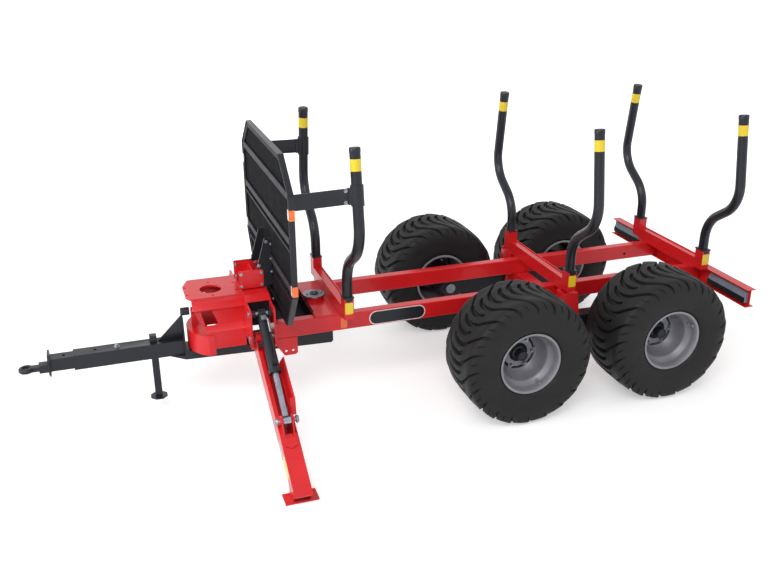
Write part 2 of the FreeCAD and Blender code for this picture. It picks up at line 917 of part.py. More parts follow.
def make_crane_stand():
    """Two bent side sheets with a window each, and the rear plate between them."""
    rear = S.leg_frame_front
    top = S.stand_top - S.flange_thickness
    wall = S.stand_wall
    half = S.stand_half_width
    side = plate("stand_side", "YZ", [stand_side_loop()], (rear, S.stand_front))
    slant = [
        (nose_rear(), S.stand_bottom - 60),
        (S.stand_front + 60, S.stand_bottom - 60),
        (S.stand_front + 60, top - 58),
        (S.stand_front, top - 58),
        (nose_rear(), S.stand_nose_top),
    ]
    front_cut = plate("stand_front_cut", "XZ", [slant], (0, 2 * half))
    window = [
        (S.stand_front - 55, top - 78),
        (S.stand_front - 130, top - 78),
        (S.stand_front - 170, top - 188),
        (S.stand_front - 80, top - 188),
    ]
    window_cut = plate("stand_window", "XZ", [window], (0, 2 * half))
    left = cut("stand_left", side, front_cut, window_cut)
    right = mirrored("stand_right", left)
    rear_loop = both_sides([
        (dim(0), S.leg_frame_bottom),
        (half - wall / 2, S.leg_frame_bottom),
        (half - wall / 2, top - 224),
        (half - 13, top - 211),
        (S.stand_waist - wall / 2, top - 190),
        (S.stand_waist - wall / 2, top - 80),
        (S.flange_left - wall / 2, top - 60),
        (S.flange_left - wall / 2, top),
        (dim(0), top),
    ])
    rear_plate = plate("stand_rear", "YZ", [rear_loop], (rear, rear + wall))
    node("crane_stand", fuse("crane_stand", left, right, rear_plate))


def make_stand_nose():
    """The round band that closes the stand in front, with its half-round lid and lock socket."""
    wall = S.stand_wall
    depth, half = S.stand_nose_depth, S.stand_half_width + wall
    radius = (depth * depth + half * half) / (2 * depth)
    at = (S.stand_nose_x - radius, 0, 0)
    low, high = S.stand_nose_bottom, S.stand_nose_top
    ring = rod("nose_ring", "Z", radius, (low, high), at, bore=radius - wall)
    lid = rod("nose_lid", "Z", radius - wall / 2, (high - wall, high), at)
    keep = box("nose_keep", (nose_rear(), S.stand_nose_x + 10), (-2 * half, 2 * half), (low - 10, high + 10))
    nose = doc.addObject("Part::Common", "nose_shell")
    nose.Base = fuse("nose_solid", ring, lid)
    nose.Tool = keep
    cheek_span = (nose_rear() - S.stand_cheek_length, nose_rear())
    cheek = box("nose_cheek", cheek_span, (half - wall, half), (low, high))
    cheeks = [cheek, mirrored("nose_cheek_right", cheek)]
    node("stand_nose", fuse("stand_nose", nose, make_lock_socket(), *cheeks))


def make_lock_socket():
    """A short level tube on a foot on the nose's lid, behind the post's boss."""
    front = S.post_x - S.boss_length - S.lock_gap
    x_span = (front - S.lock_length, front)
    outer, inner = S.boss_radius * 0.85, S.boss_radius / 2
    tube = rod("lock_socket", "X", outer, x_span, (0, 0, S.boss_z), bore=inner)
    half_web = S.stand_wall / 2
    foot_span = (S.stand_nose_top - half_web, S.boss_z - inner - 2)
    foot = box("lock_foot", x_span, (-half_web, half_web), foot_span)
    return fuse("lock_socket", tube, foot)


def make_crane_flange():
    """The drilled plate that the crane's column is bolted to, wider on its right side."""
    rear, front = S.leg_frame_front, S.flange_front
    left, right, tip = S.flange_left, S.flange_right, S.flange_tip_half
    outline = [
        (rear, -right),
        (front - 46, -right),
        (front, -tip),
        (front, tip),
        (front - 30, left),
        (rear, left),
    ]
    x, radius = S.flange_hole_x, S.flange_bolt_radius
    holes = [(x, 0, S.flange_hole_radius)]
    for side in (1, -1):
        holes.append((x, S.flange_side_bolts / 2 * side, radius))
        for end in (1, -1):
            holes.append((x + S.flange_bolt_length / 2 * end, S.flange_bolt_width / 2 * side, radius))
    span = (S.stand_top - S.flange_thickness, S.stand_top)
    node("crane_flange", plate("crane_flange", "XY", [outline] + holes, span))


# ---------------------------------------------------------------- leg frame
def leg_frame_loop():
    """Half outline of a cross plate: feet at the rails, sloped shoulders and a flat top."""
    half = S.leg_frame_half_width
    low, top = S.leg_frame_bottom, S.stand_top
    foot, corner = S.leg_frame_foot, S.leg_frame_corner
    return both_sides([
        (dim(0), low),
        (half - foot, low),
        (half - foot + corner, low - corner),
        (half - corner, low - corner),
        (half, low),
        (half, top - S.leg_frame_slope_drop - corner),
        (half - corner, top - S.leg_frame_slope_drop),
        (half - S.leg_frame_slope_end, top - S.leg_frame_slope_drop),
        (half - S.leg_frame_slope_start, top),
        (dim(0), top),
    ])


def leg_frame_roof_loop():
    """The bent sheet that lies on the flat top and on the upper part of both slopes."""
    half, top, cover = S.leg_frame_half_width, S.stand_top, S.leg_frame_cover
    run = S.leg_frame_slope_start - S.leg_frame_slope_end
    share = S.leg_frame_roof_share
    edge_y = half - S.leg_frame_slope_start + run * share
    edge_z = top - S.leg_frame_slope_drop * share
    return both_sides([
        (dim(0), top),
        (half - S.leg_frame_slope_start, top),
        (edge_y, edge_z),
        (edge_y + cover / 3, edge_z + cover),
        (half - S.leg_frame_slope_start + cover / 6, top + cover),
        (dim(0), top + cover),
    ])


def make_leg_frame():
    """Two upright plates across the trailer, with the legs' slot between them, and a roof."""
    radius = S.leg_pin_radius + S.fit_gap
    ram_hole = S.ram_pin_radius + S.fit_gap
    loops = [leg_frame_loop()]
    for side in (1, -1):
        loops.append((side * S.leg_pivot_y, S.leg_pivot_z, radius))
        loops.append((side * S.ram_pin_y, S.ram_pin_z, ram_hole))
    front, rear, thick = S.leg_frame_front, leg_frame_rear(), S.leg_frame_plate
    node("leg_frame_front", plate("leg_frame_front", "YZ", loops, (front - thick, front)))
    node("leg_frame_rear", plate("leg_frame_rear", "YZ", loops, (rear, rear + thick)))
    node("leg_frame_roof", plate("leg_frame_roof", "YZ", [leg_frame_roof_loop()], (rear, front)))
    make_clamp_plates(S.stand_top + S.leg_frame_cover)


def make_clamp_plates(low):
    """The two drilled plates on the leg frame's roof that hold the headboard's brackets."""
    rear = leg_frame_rear() + 4
    front = S.leg_frame_front - 4
    y = S.clamp_half_width
    high = low + S.clamp_height
    loop = [(rear, low), (front, low), (front, high), (rear, high)]
    side = plate("clamp_side", "XZ", [loop], (y - 10, y))
    web = box("clamp_web", (rear + 70, rear + 78), (-y + 10, y - 10), (low, high - 10))
    node("clamp_plates", fuse("clamp_plates", side, mirrored("clamp_side_right", side), web))


def headed_pin(label, radius, span, at):
    """A pin with a head at its front end, flush at the rear where the rail's end may sit."""
    low, high = span
    head, flange = radius * 1.5, S.pin_head
    outline = [
        (0, low),
        (radius, low),
        (radius, high),
        (head, high),
        (head, high + flange),
        (0, high + flange),
    ]
    return turned(label, "X", outline, at)


def make_leg_pins():
    span = (leg_frame_rear(), S.leg_frame_front)
    pins = []
    for side in (1, -1):
        pins.append(headed_pin("leg_pin", S.leg_pin_radius, span, (0, side * S.leg_pivot_y, S.leg_pivot_z)))
        pins.append(headed_pin("ram_pin", S.ram_pin_radius, span, (0, side * S.ram_pin_y, S.ram_pin_z)))
    node("leg_pins", pair("leg_pins", *pins))


def make_rail_lugs():
    """Five-sided drilled plates that hang from the front ends of the rails."""
    low, front = S.rail_bottom - S.lug_drop, rail_front()
    rear = front - S.lug_length
    loop = [
        (rear, S.rail_bottom),
        (rear, low + S.lug_corner),
        (rear + S.lug_corner, low),
        (front - S.lug_nose_length, low),
        (front - S.lug_corner, low + S.lug_nose_height),
        (front, S.rail_bottom),
    ]
    first = front - S.lug_nose_length - S.lug_hole_inset
    hole_z = low + S.lug_hole_rise
    holes = [(first, hole_z, S.lug_hole_radius), (first - S.lug_hole_pitch, hole_z, S.lug_hole_radius)]
    lug = plate("rail_lug", "XZ", [loop] + holes, (S.rail_outer - S.lug_thickness, S.rail_outer))
    node("rail_lugs", pair("rail_lugs", lug, mirrored("rail_lug_right", lug)))


# ---------------------------------------------------------------- bogie
def bogie_cheek_inner():
    return S.walking_beam_mid - S.walking_beam_width / 2 - 8


def bogie_cheek_outer():
    return S.walking_beam_mid + S.walking_beam_width / 2 + 8


def make_bogie_mount():
    """The cross member under the rails and the cheeks that carry the walking beams."""
    half = S.cheek_width / 2 - 20
    thick = S.cheek_thickness
    inner, outer = bogie_cheek_inner(), bogie_cheek_outer()
    beam_top = axle_z() + S.walking_beam_height / 2
    cross_low = S.rail_bottom - 90
    cross_y = (-inner + thick, inner - thick)
    crossbar = box("bogie_crossbar", (-half, half), cross_y, (cross_low, S.rail_bottom))
    hollow = box("bogie_hollow", (-half + 8, half - 8), (-inner, inner), (cross_low + 8, S.rail_bottom - 8))
    pieces = [cut("bogie_crossbar", crossbar, hollow)]
    bridge_top = rail_top() - S.fit_gap
    pin = S.bogie_pin_radius + S.fit_gap
    cheeks = (
        ("inner", inner - thick, inner, bridge_top),
        ("outer", outer, outer + thick, socket_bottom() - S.fit_gap),
    )
    for side in (1, -1):
        for name, low, high, top in cheeks:
            span = (low, high) if side == 1 else (-high, -low)
            loop = cheek_outline(S.cheek_width / 2, axle_z() - 75, top)
            pieces.append(plate("cheek_" + name, "XZ", [loop, (0, axle_z(), pin)], span))
        bridge = (inner, outer) if side == 1 else (-outer, -inner)
        pieces.append(box("cheek_bridge", (-half, half), bridge, (beam_top + 60, bridge_top)))
    node("bogie_mount", fuse("bogie_mount", *pieces))


def cheek_outline(half, low, top):
    return [
        (-half + 35, low),
        (half - 35, low),
        (half, low + 50),
        (half, low + 100),
        (45, top),
        (-45, top),
        (-half, low + 100),
        (-half, low + 50),
    ]


def make_walking_beams():
    """Box beams that rock on the bogie pin and carry a stub axle at each end."""
    half_length = S.wheelbase / 2 + 85
    half_height = S.walking_beam_height / 2
    low, high = axle_z() - half_height, axle_z() + half_height
    end = half_height * 0.6
    loop = [
        (-half_length + end, low + 12),
        (-150, low),
        (150, low),
        (half_length - end, low + 12),
        (half_length, axle_z() - 20),
        (half_length, axle_z() + 20),
        (half_length - end, high - 12),
        (150, high),
        (-150, high),
        (-half_length + end, high - 12),
        (-half_length, axle_z() + 20),
        (-half_length, axle_z() - 20),
    ]
    mid, half = S.walking_beam_mid, S.walking_beam_width / 2
    holes = [(S.wheelbase / 2 * place, axle_z(), radius) for place, radius in (
        (-1, S.axle_radius + S.fit_gap), (0, S.bogie_pin_radius + S.fit_gap), (1, S.axle_radius + S.fit_gap))]
    beam = plate("walking_beam", "XZ", [loop] + holes, (mid - half, mid + half))
    node("walking_beam_left", beam)
    node("walking_beam_right", mirrored("walking_beam_right", beam), shift=False)
    inner, outer = bogie_cheek_inner() - S.cheek_thickness, bogie_cheek_outer() + S.cheek_thickness
    pin = rod("bogie_pin", "Y", S.bogie_pin_radius, (inner - 4, outer + 4), (0, 0, axle_z()))
    node("bogie_pins", pair("bogie_pins", pin, mirrored("bogie_pin_right", pin)))


def hub_inner():
    return S.walking_beam_mid + S.walking_beam_width / 2 + 8


def make_stub_axles():
    """Round axles through the walking beams, each with a collar inside the beam."""
    inner = S.walking_beam_mid - S.walking_beam_width / 2
    tip = S.tyre_mid + S.disc_offset + S.hub_tip - 20
    radius = S.axle_radius
    axles = []
    outline = [
        (0, inner - 14),
        (radius + 10, inner - 14),
        (radius + 10, inner),
        (radius, inner),
        (radius, tip),
        (0, tip),
    ]
    for end in (1, -1):
        axle = turned("stub_axle", "Y", outline, (S.wheelbase / 2 * end, 0, axle_z()))
        axles += [axle, mirrored("stub_axle_right", axle)]
    node("stub_axles", pair("stub_axles", *axles))


# ---------------------------------------------------------------- wheels
def tread_trail(run):
    """How far the chevron tread trails behind its middle, at a length across the section."""
    return max(0, run - S.tread_flat.value) * S.tread_slope.value


def tyre_rings():
    """Rings of corners on the faceted tyre, from the crown's middle to the bead and the hollow.

    Each is (radius, offset, sunk radius, sunk offset, trail, marks). Marks are shares of a pitch.
    """
    edges, groove, plain = (0, 0.5), (0, 0.25, 0.5), (0.25,)
    half = (S.tyre_width / 2).value
    top = S.tyre_radius.value
    depth = S.tread_depth.value
    row = S.tread_row.value
    side_row = half - 55
    flange = (S.rim_radius + S.rim_flange + 6).value
    bore = ((S.rim_radius + S.fit_gap) / cosine(dim(180) / S.tread_pitches)).value
    lip = (S.rim_width / 2 - 9).value
    wall = S.tyre_wall.value
    rest = tread_trail(half)
    return [
        (top, 0, top, 0, 0, edges),
        (top, row, top - depth, row, tread_trail(row), groove),
        (top - 6, side_row, top - 6 - depth, side_row, tread_trail(side_row), groove),
        (top - 42, half - 10, top - 42 - depth / 2, half - 10 - depth / 2, rest, groove),
        (flange + 105, half, flange + 105, half, rest, plain),
        (flange + 3, lip + 10, flange + 3, lip + 10, rest, plain),
        (flange, lip, flange, lip, rest, plain),
        (bore, lip, bore, lip, rest, plain),
        (bore, lip - wall, bore, lip - wall, rest, plain),
        (flange + 65, half - wall, flange + 65, half - wall, rest, plain),
        (top - 80, half - wall - 6, top - 80, half - wall - 6, rest, plain),
        (top - depth - 12, 60, top - depth - 12, 60, rest, plain),
    ]


def ring_corners(ring, side):
    """One ring on one side of the tyre, as (place in pitches, corner)."""
    radius, offset, sunk_radius, sunk_offset, trail, marks = ring
    pitches = round(S.tread_pitches.value)
    shift = 0.5 if side < 0 and len(marks) != 2 else 0
    corners = []
    for pitch in range(pitches):
        for mark in marks:
            sunk = mark == 0.25
            place = pitch + mark + shift
            turn = 2 * math.pi * place / pitches - trail / S.tyre_radius.value
            reach = sunk_radius if sunk else radius
            across = side * (sunk_offset if sunk else offset)
            corners.append((place, Vector(reach * math.sin(turn), across, reach * math.cos(turn))))
    return corners


def stitch(ring, following, pitches):
    """Three-sided faces between two rings, which may differ in their number of corners."""
    here = ring + [(ring[0][0] + pitches, ring[0][1])]
    there = following + [(following[0][0] + pitches, following[0][1])]
    faces = []
    i = j = 0
    while i < len(ring) or j < len(following):
        first, last = here[i][1], there[j][1]
        if j == len(following) or (i < len(ring) and here[i + 1][0] <= there[j + 1][0]):
            i += 1
            middle = here[i][1]
        else:
            j += 1
            middle = there[j][1]
        faces.append(Part.Face(Part.makePolygon([first, middle, last, first])))
    return faces


def make_tyre(label, at):
    """A hollow tyre of flat faces, with a chevron groove on each side at every pitch."""
    rings = tyre_rings()
    loop = [ring_corners(ring, 1) for ring in rings]
    loop += [ring_corners(ring, -1) for ring in reversed(rings)]
    faces = []
    for ring, following in zip(loop, loop[1:]):
        faces += stitch(ring, following, round(S.tread_pitches.value))
    shell = Part.Shell(faces)
    shell.sewShape()
    solid = Part.Solid(shell)
    if solid.Volume < 0:
        solid.reverse()
    tyre = doc.addObject("Part::Feature", label + "_faces")
    tyre.Shape = solid
    set_base(tyre, at)
    body_base[tyre.Name] = at
    return tyre


def rim_outline():
    """Barrel with both flanges, the bowl and its plate, and the hub, as one turned section."""
    out = S.rim_width / 2
    barrel = S.rim_radius
    inside = barrel - S.rim_wall
    flange = barrel + S.rim_flange
    disc = S.disc_offset
    bowl = disc + S.bowl_depth
    wall = S.disc_thickness
    hub = S.hub_radius
    cap = S.hub_cap_radius
    bore = S.axle_radius + S.fit_gap
    hub_in = hub_inner() - S.tyre_mid
    tip = disc + S.hub_tip
    return [
        (barrel, -out + 8),
        (flange, -out + 8),
        (flange, -out),
        (inside, -out),
        (inside, bowl + wall),
        (S.bowl_radius + wall + 3, bowl - 5),
        (S.bowl_radius + wall - 3, bowl - 30),
        (S.plate_radius + wall / 2, disc - wall),
        (hub + 12, disc - wall),
        (hub, disc - wall - 12),
        (hub, hub_in),
        (bore, hub_in),
        (bore, tip - 12),
        (0, tip - 12),
        (0, tip),
        (cap, tip),
        (cap, disc),
        (S.plate_radius, disc),
        (S.bowl_radius, bowl - 20),
        (S.bowl_radius + 5, bowl),
        (inside - 8, bowl + 28),
        (inside, bowl + 38),
        (inside, out),
        (flange, out),
        (flange, out - 8),
        (barrel, out - 8),
    ]


def make_wheels():
    for end, end_name in ((1, "front"), (-1, "rear")):
        at = (S.wheelbase / 2 * end, S.tyre_mid, axle_z())
        tyre = make_tyre("tyre_" + end_name, at)
        node("tyre_" + end_name + "_left", tyre)
        node("tyre_" + end_name + "_right", mirrored("tyre_" + end_name + "_right", tyre), shift=False)
        rim = turned("rim_" + end_name, "Y", rim_outline(), at)
        node("rim_" + end_name + "_left", rim)
        node("rim_" + end_name + "_right", mirrored("rim_" + end_name + "_right", rim), shift=False)


# ---------------------------------------------------------------- stabiliser legs
def leg_x():
    return S.leg_frame_front - S.leg_frame_plate - S.leg_slot / 2


def set_turn(obj, base, angle):
    """Turns an object built level at its pivot, about the trailer's X axis."""
    obj.Placement = Placement(Vector(0, 0, 0), Rotation(Vector(1, 0, 0), angle.value))
    set_base(obj, base)
    body_base[obj.Name] = base
    obj.setExpression("Placement.Rotation.Angle", "(" + angle.text + ") * 1 deg")


def leg_angle():
    """How far below level the lowered leg lies, so that its foot stands on the ground."""
    return bearing(S.foot_out, S.leg_pivot_z) - S.foot_offset_angle


def foot_place():
    """The middle of the foot's underside, in the frame of the level leg."""
    out, down, angle = S.foot_out, S.leg_pivot_z, leg_angle()
    along = out * cosine(angle) + down * sine(angle)
    across = out * sine(angle) - down * cosine(angle)
    return along, across


def leg_tip():
    return foot_place()[0] + S.leg_tip_length


def make_leg_sides():
    """The two side plates of the leg, tapered towards the foot and bored for the pivot pin."""
    rise, drop, heel, bevel = S.leg_rise, S.leg_drop, S.leg_heel, S.leg_bevel
    tip = leg_tip()
    loop = [
        (-heel, -drop + bevel),
        (bevel, -drop),
        (tip - bevel, -drop + S.leg_taper),
        (tip + bevel, rise - S.leg_taper),
        (S.leg_kink, rise),
        (bevel, rise),
        (-heel, rise - bevel),
        (-heel - bevel / 2, 0),
    ]
    bore = (0, 0, S.leg_pin_radius + S.fit_gap)
    side = plate("leg_side", "YZ", [loop, bore], (S.leg_width / 2 - S.leg_wall, S.leg_width / 2))
    return [side, twin("leg_side_rear", side)]


def make_leg_sheets():
    """The floor along the whole leg, and the roof from behind the ears to the foot."""
    rise, drop, bevel, wall = S.leg_rise, S.leg_drop, S.leg_bevel, S.leg_wall
    tip, taper = leg_tip(), S.leg_taper
    span = (-S.leg_width / 2 + wall / 2, S.leg_width / 2 - wall / 2)
    floor_loop = [
        (bevel, -drop),
        (tip - bevel, -drop + taper),
        (tip - bevel, -drop + taper + wall),
        (bevel, -drop + wall),
    ]
    roof_loop = [
        (S.leg_roof_start, rise - wall),
        (S.leg_kink, rise - wall),
        (tip + bevel, rise - taper - wall),
        (tip + bevel, rise - taper),
        (S.leg_kink, rise),
        (S.leg_roof_start, rise),
    ]
    return [plate("leg_floor", "YZ", [floor_loop], span), plate("leg_roof", "YZ", [roof_loop], span)]


def make_ears():
    """Two plates inside the leg that hold the rod's pin, with the pin's heads outside them."""
    y, z, radius, wall = S.ear_y, S.ear_z, S.ear_radius, S.leg_wall
    low, rise = -S.leg_drop + wall / 2, S.leg_rise
    loop = [
        (y - 2 * radius, low),
        (S.leg_kink, low),
        (S.leg_kink, rise - wall / 2),
        (y + radius, z + radius / 4),
        (y + radius / 2, z + radius),
        (y - radius / 2, z + radius),
        (y - radius, z + radius / 4),
        (y - 2 * radius, rise),
    ]
    inner, outer = S.ear_inner, S.ear_inner + S.ear_thickness
    ear = plate("leg_ear", "YZ", [loop], (inner, outer))
    head = rod("ear_pin_head", "X", S.ram_pin_radius * 1.5, (outer, outer + S.ear_thickness), (0, y, z))
    return [ear, head, twin("leg_ear_rear", ear), twin("ear_pin_head_rear", head)]


def make_guard():
    """The folded sheet behind the ram, closed at its lower end, and the front side's lip."""
    half, wall, rise = S.leg_width / 2, S.leg_wall, S.leg_rise
    lean, height = S.guard_lean, S.guard_height
    middle = rise + height / 2
    section = [
        (-half, rise - wall),
        (-half + wall, rise - wall),
        (-half, middle),
        (-half - lean + wall, rise + height),
        (-half - lean, rise + height),
        (-half - wall, middle),
    ]
    sheet = plate("guard_sheet", "XZ", [section], (S.guard_start, S.guard_end))
    end, length = S.guard_end, S.guard_end_length
    end_loop = [
        (end - wall, rise + height),
        (end, rise + height),
        (end + length, rise),
        (end + length, rise - wall),
        (end + length - wall, rise - wall),
    ]
    closing = plate("guard_closing", "YZ", [end_loop], (-half - lean, -half + wall * 1.5))
    lip_span = (half - S.leg_lip, half)
    lip = box("leg_lip", lip_span, (S.guard_start / 2, S.leg_kink), (rise - wall, rise))
    return [sheet, closing, lip]


def make_leg(label):
    """The leg as it lies level: pivot at the origin and the foot out along +Y."""
    inside = S.leg_width / 2 - S.leg_wall
    bush = rod("leg_bush", "X", S.leg_boss_radius, (-inside, inside), bore=S.leg_pin_radius + S.fit_gap)
    return fuse(label, bush, make_foot(), *make_leg_sides(), *make_leg_sheets(), *make_ears(), *make_guard())


def make_foot():
    """The foot plate, level when the leg is down, and the webs that carry it."""
    half_length, half_width, thick = S.foot_length / 2, S.foot_width / 2, S.foot_thickness
    pad = box("foot_pad", (-half_length, half_length), (-half_width, half_width), (0, thick))
    length, height = S.foot_web_length, S.foot_web_height
    loop = [
        (-length / 2, thick / 2),
        (length / 2, thick / 2),
        (length / 3, thick + height),
        (-length * 2 / 3, thick + height * 1.5),
    ]
    web = plate("foot_web", "YZ", [loop], (S.leg_width / 2 - S.leg_wall, S.leg_width / 2))
    foot = fuse("foot", pad, web, twin("foot_web_rear", web))
    along, across = foot_place()
    set_turn(foot, (0, along, across), leg_angle())
    return foot


def ear_place():
    """The rod's pin on the lowered left leg, across and up in the trailer."""
    across = S.leg_pivot_y + S.ear_y * cosine(leg_angle()) + S.ear_z * sine(leg_angle())
    up = S.leg_pivot_z - S.ear_y * sine(leg_angle()) + S.ear_z * cosine(leg_angle())
    return across, up


def make_barrel(label):
    """The ram's barrel, level: eye at the origin and the gland at its far end along +Y."""
    eye_half = S.ram_eye_width / 2
    length, radius = S.ram_barrel_length, S.ram_radius
    bore = S.rod_radius + S.fit_gap
    eye_radius = S.ram_eye_radius
    outline = [
        (0, eye_radius - 4),
        (radius, eye_radius - 4),
        (radius, length - 30),
        (radius + 4, length - 30),
        (radius + 4, length),
        (bore, length),
        (bore, eye_radius + 12),
        (0, eye_radius + 12),
    ]
    tube = turned("barrel_tube", "Y", outline, (0, 0, 0))
    eye = rod("barrel_eye", "X", eye_radius, (-eye_half, eye_half))
    pin_hole = rod("barrel_eye_hole", "X", S.ram_pin_radius + S.fit_gap, (-100, 100))
    return cut(label, fuse(label + "_solid", tube, eye), pin_hole)


def make_ram_rod(label, rod_length):
    """The ram's rod, level: eye at the origin, rod towards -Y, and the pin through the eye."""
    eye_half = S.ram_eye_width / 2
    shaft = rod("rod_shaft", "Y", S.rod_radius, (-rod_length, -10))
    eye = rod("rod_eye", "X", S.ram_eye_radius, (-eye_half, eye_half))
    pin_half = (eye_half + S.ear_inner) / 2
    pin = rod("rod_pin", "X", S.ram_pin_radius, (-pin_half, pin_half))
    return fuse(label, shaft, eye, pin)


def make_legs_and_rams():
    x = leg_x()
    leg = make_leg("stabiliser_leg")
    set_turn(leg, (x, S.leg_pivot_y, S.leg_pivot_z), -leg_angle())
    node("leg_left", leg)
    node("leg_right", mirrored("leg_right", leg), shift=False)
    ear_y, ear_z = ear_place()
    slope = bearing(ear_y - S.ram_pin_y, ear_z - S.ram_pin_z)
    barrel = make_barrel("ram_barrel")
    set_turn(barrel, (x, S.ram_pin_y, S.ram_pin_z), slope)
    node("ram_barrel_left", barrel)
    node("ram_barrel_right", mirrored("ram_barrel_right", barrel), shift=False)
    ram_rod = make_ram_rod("ram_rod", S.rod_length)
    set_turn(ram_rod, (x, ear_y, ear_z), slope)
    node("ram_rod_left", ram_rod)
    node("ram_rod_right", mirrored("ram_rod_right", ram_rod), shift=False)


# ---------------------------------------------------------------- drawbar
def drawbar_outline(rear, front, inset):
    """The beam's plan: wide at the king pin and narrow at the post, drawn inset by a wall."""
    taper = (S.drawbar_half_width - S.drawbar_front_half) / (S.post_x - S.drawbar_rear)
    rear_half = S.drawbar_half_width - (rear - S.drawbar_rear) * taper - inset
    front_half = S.drawbar_half_width - (front - S.drawbar_rear) * taper - inset
    return [(rear, -rear_half), (front, -front_half), (front, front_half), (rear, rear_half)]


def make_drawbar_nose():
    """The folded plate that closes the beam below the tube, in front of the post."""
    front, low, high = S.post_x, S.drawbar_bottom, S.tube_bottom - S.fit_gap
    profile = [(front, low), (front + S.post_thickness, low), (S.nose_front, high), (front, high)]
    wedge = plate("drawbar_wedge", "XZ", [profile], (-S.drawbar_half_width, S.drawbar_half_width))
    half, tip = S.drawbar_front_half, S.tube_width / 2
    plan_loop = [(front, -half), (S.nose_front, -tip), (S.nose_front, tip), (front, half)]
    plan = plate("drawbar_nose_plan", "XY", [plan_loop], (low - 10, high + 10))
    nose = doc.addObject("Part::Common", "drawbar_nose")
    nose.Base, nose.Tool = wedge, plan
    return nose


def make_drawbar_beam():
    """A tapered box beam, tall at the king pin and low under the crane stand."""
    low, mid, high = S.drawbar_bottom, S.drawbar_low_top, S.drawbar_high_top
    rear, step, front = S.drawbar_rear, S.drawbar_step, S.post_x
    wall, half = S.drawbar_wall, S.drawbar_half_width
    outer = [
        plate("beam_low", "XY", [drawbar_outline(rear, front, dim(0))], (low, mid)),
        plate("beam_high", "XY", [drawbar_outline(rear, step, dim(0))], (low, high)),
    ]
    low_space = drawbar_outline(rear + wall, front - wall, wall)
    high_space = drawbar_outline(rear + wall, step - wall, wall)
    inner = [
        plate("beam_low_space", "XY", [low_space], (low + wall, mid - wall)),
        plate("beam_high_space", "XY", [high_space], (low + wall, high - wall)),
    ]
    corner = S.drawbar_corner
    corner_loop = [(rear - 1, low - 1), (rear + corner, low - 1), (rear - 1, low + corner)]
    heel = plate("beam_heel", "XZ", [corner_loop], (-half - 10, half + 10))
    pin = S.king_pin_radius + S.fit_gap
    sleeve = rod("king_sleeve", "Z", pin + 18, (low + 2, high - 2), (S.king_pin_x, 0, 0))
    bore = rod("king_bore", "Z", pin, (low - 10, high + 10), (S.king_pin_x, 0, 0))
    shell = cut("drawbar_shell", fuse("drawbar_solid", *outer), heel, *inner)
    joined = fuse("drawbar_joined", shell, sleeve, make_drawbar_nose())
    node("drawbar_beam", cut("drawbar_beam", joined, bore))


def make_drawbar_post():
    """The upright plate in front of the crane stand, its gusset and the boss on top."""
    front = S.post_x + S.post_thickness
    half = S.drawbar_front_half
    low = S.tube_bottom
    tube_top = S.tube_bottom + S.tube_height
    top = S.post_top
    loop = both_sides([
        (dim(0), low),
        (half, low),
        (half, S.drawbar_low_top + 10),
        (S.post_top_half_width, top),
        (dim(0), top),
    ])
    upright = plate("post_plate", "YZ", [loop], (S.post_x, front))
    gusset_loop = [(front, tube_top), (front + S.gusset_length, tube_top), (front, top)]
    half_gusset = S.gusset_thickness / 2
    gusset = plate("post_gusset", "XZ", [gusset_loop], (-half_gusset, half_gusset))
    boss_radius = S.boss_radius
    boss_span = (S.post_x - S.boss_length, front)
    boss = rod("post_boss", "X", boss_radius, boss_span, (0, 0, S.boss_z), bore=boss_radius / 2)
    node("drawbar_post", fuse("drawbar_post", upright, gusset, boss))


def make_drawbar_tube():
    """The square tube that the hitch slides in, pierced for the prop stand and the lock bolt."""
    low, high = S.tube_bottom, S.tube_bottom + S.tube_height
    half, wall = S.tube_width / 2, S.tube_wall
    outer = rectangle((-half, half), (low, high))
    inner = rectangle((-half + wall, half - wall), (low + wall, high - wall))
    rear = S.post_x + S.post_thickness
    tube = plate("drawbar_tube", "YZ", [outer, inner], (rear, S.tube_front))
    prop_half = S.prop_width / 2 + S.fit_gap
    z_span = (low - 10, high + 10)
    prop_hole = box("prop_hole", spread(S.prop_x, prop_half), (-prop_half, prop_half), z_span)
    bolt_hole = rod("lock_hole", "Z", S.lock_bolt_radius + S.fit_gap, z_span, (S.lock_bolt_x, 0, 0))
    spare_hole = rod("spare_hole", "Z", S.lock_bolt_radius, z_span, (S.tube_hole_x, 0, 0))
    node("drawbar_tube", cut("drawbar_tube", tube, prop_hole, bolt_hole, spare_hole))


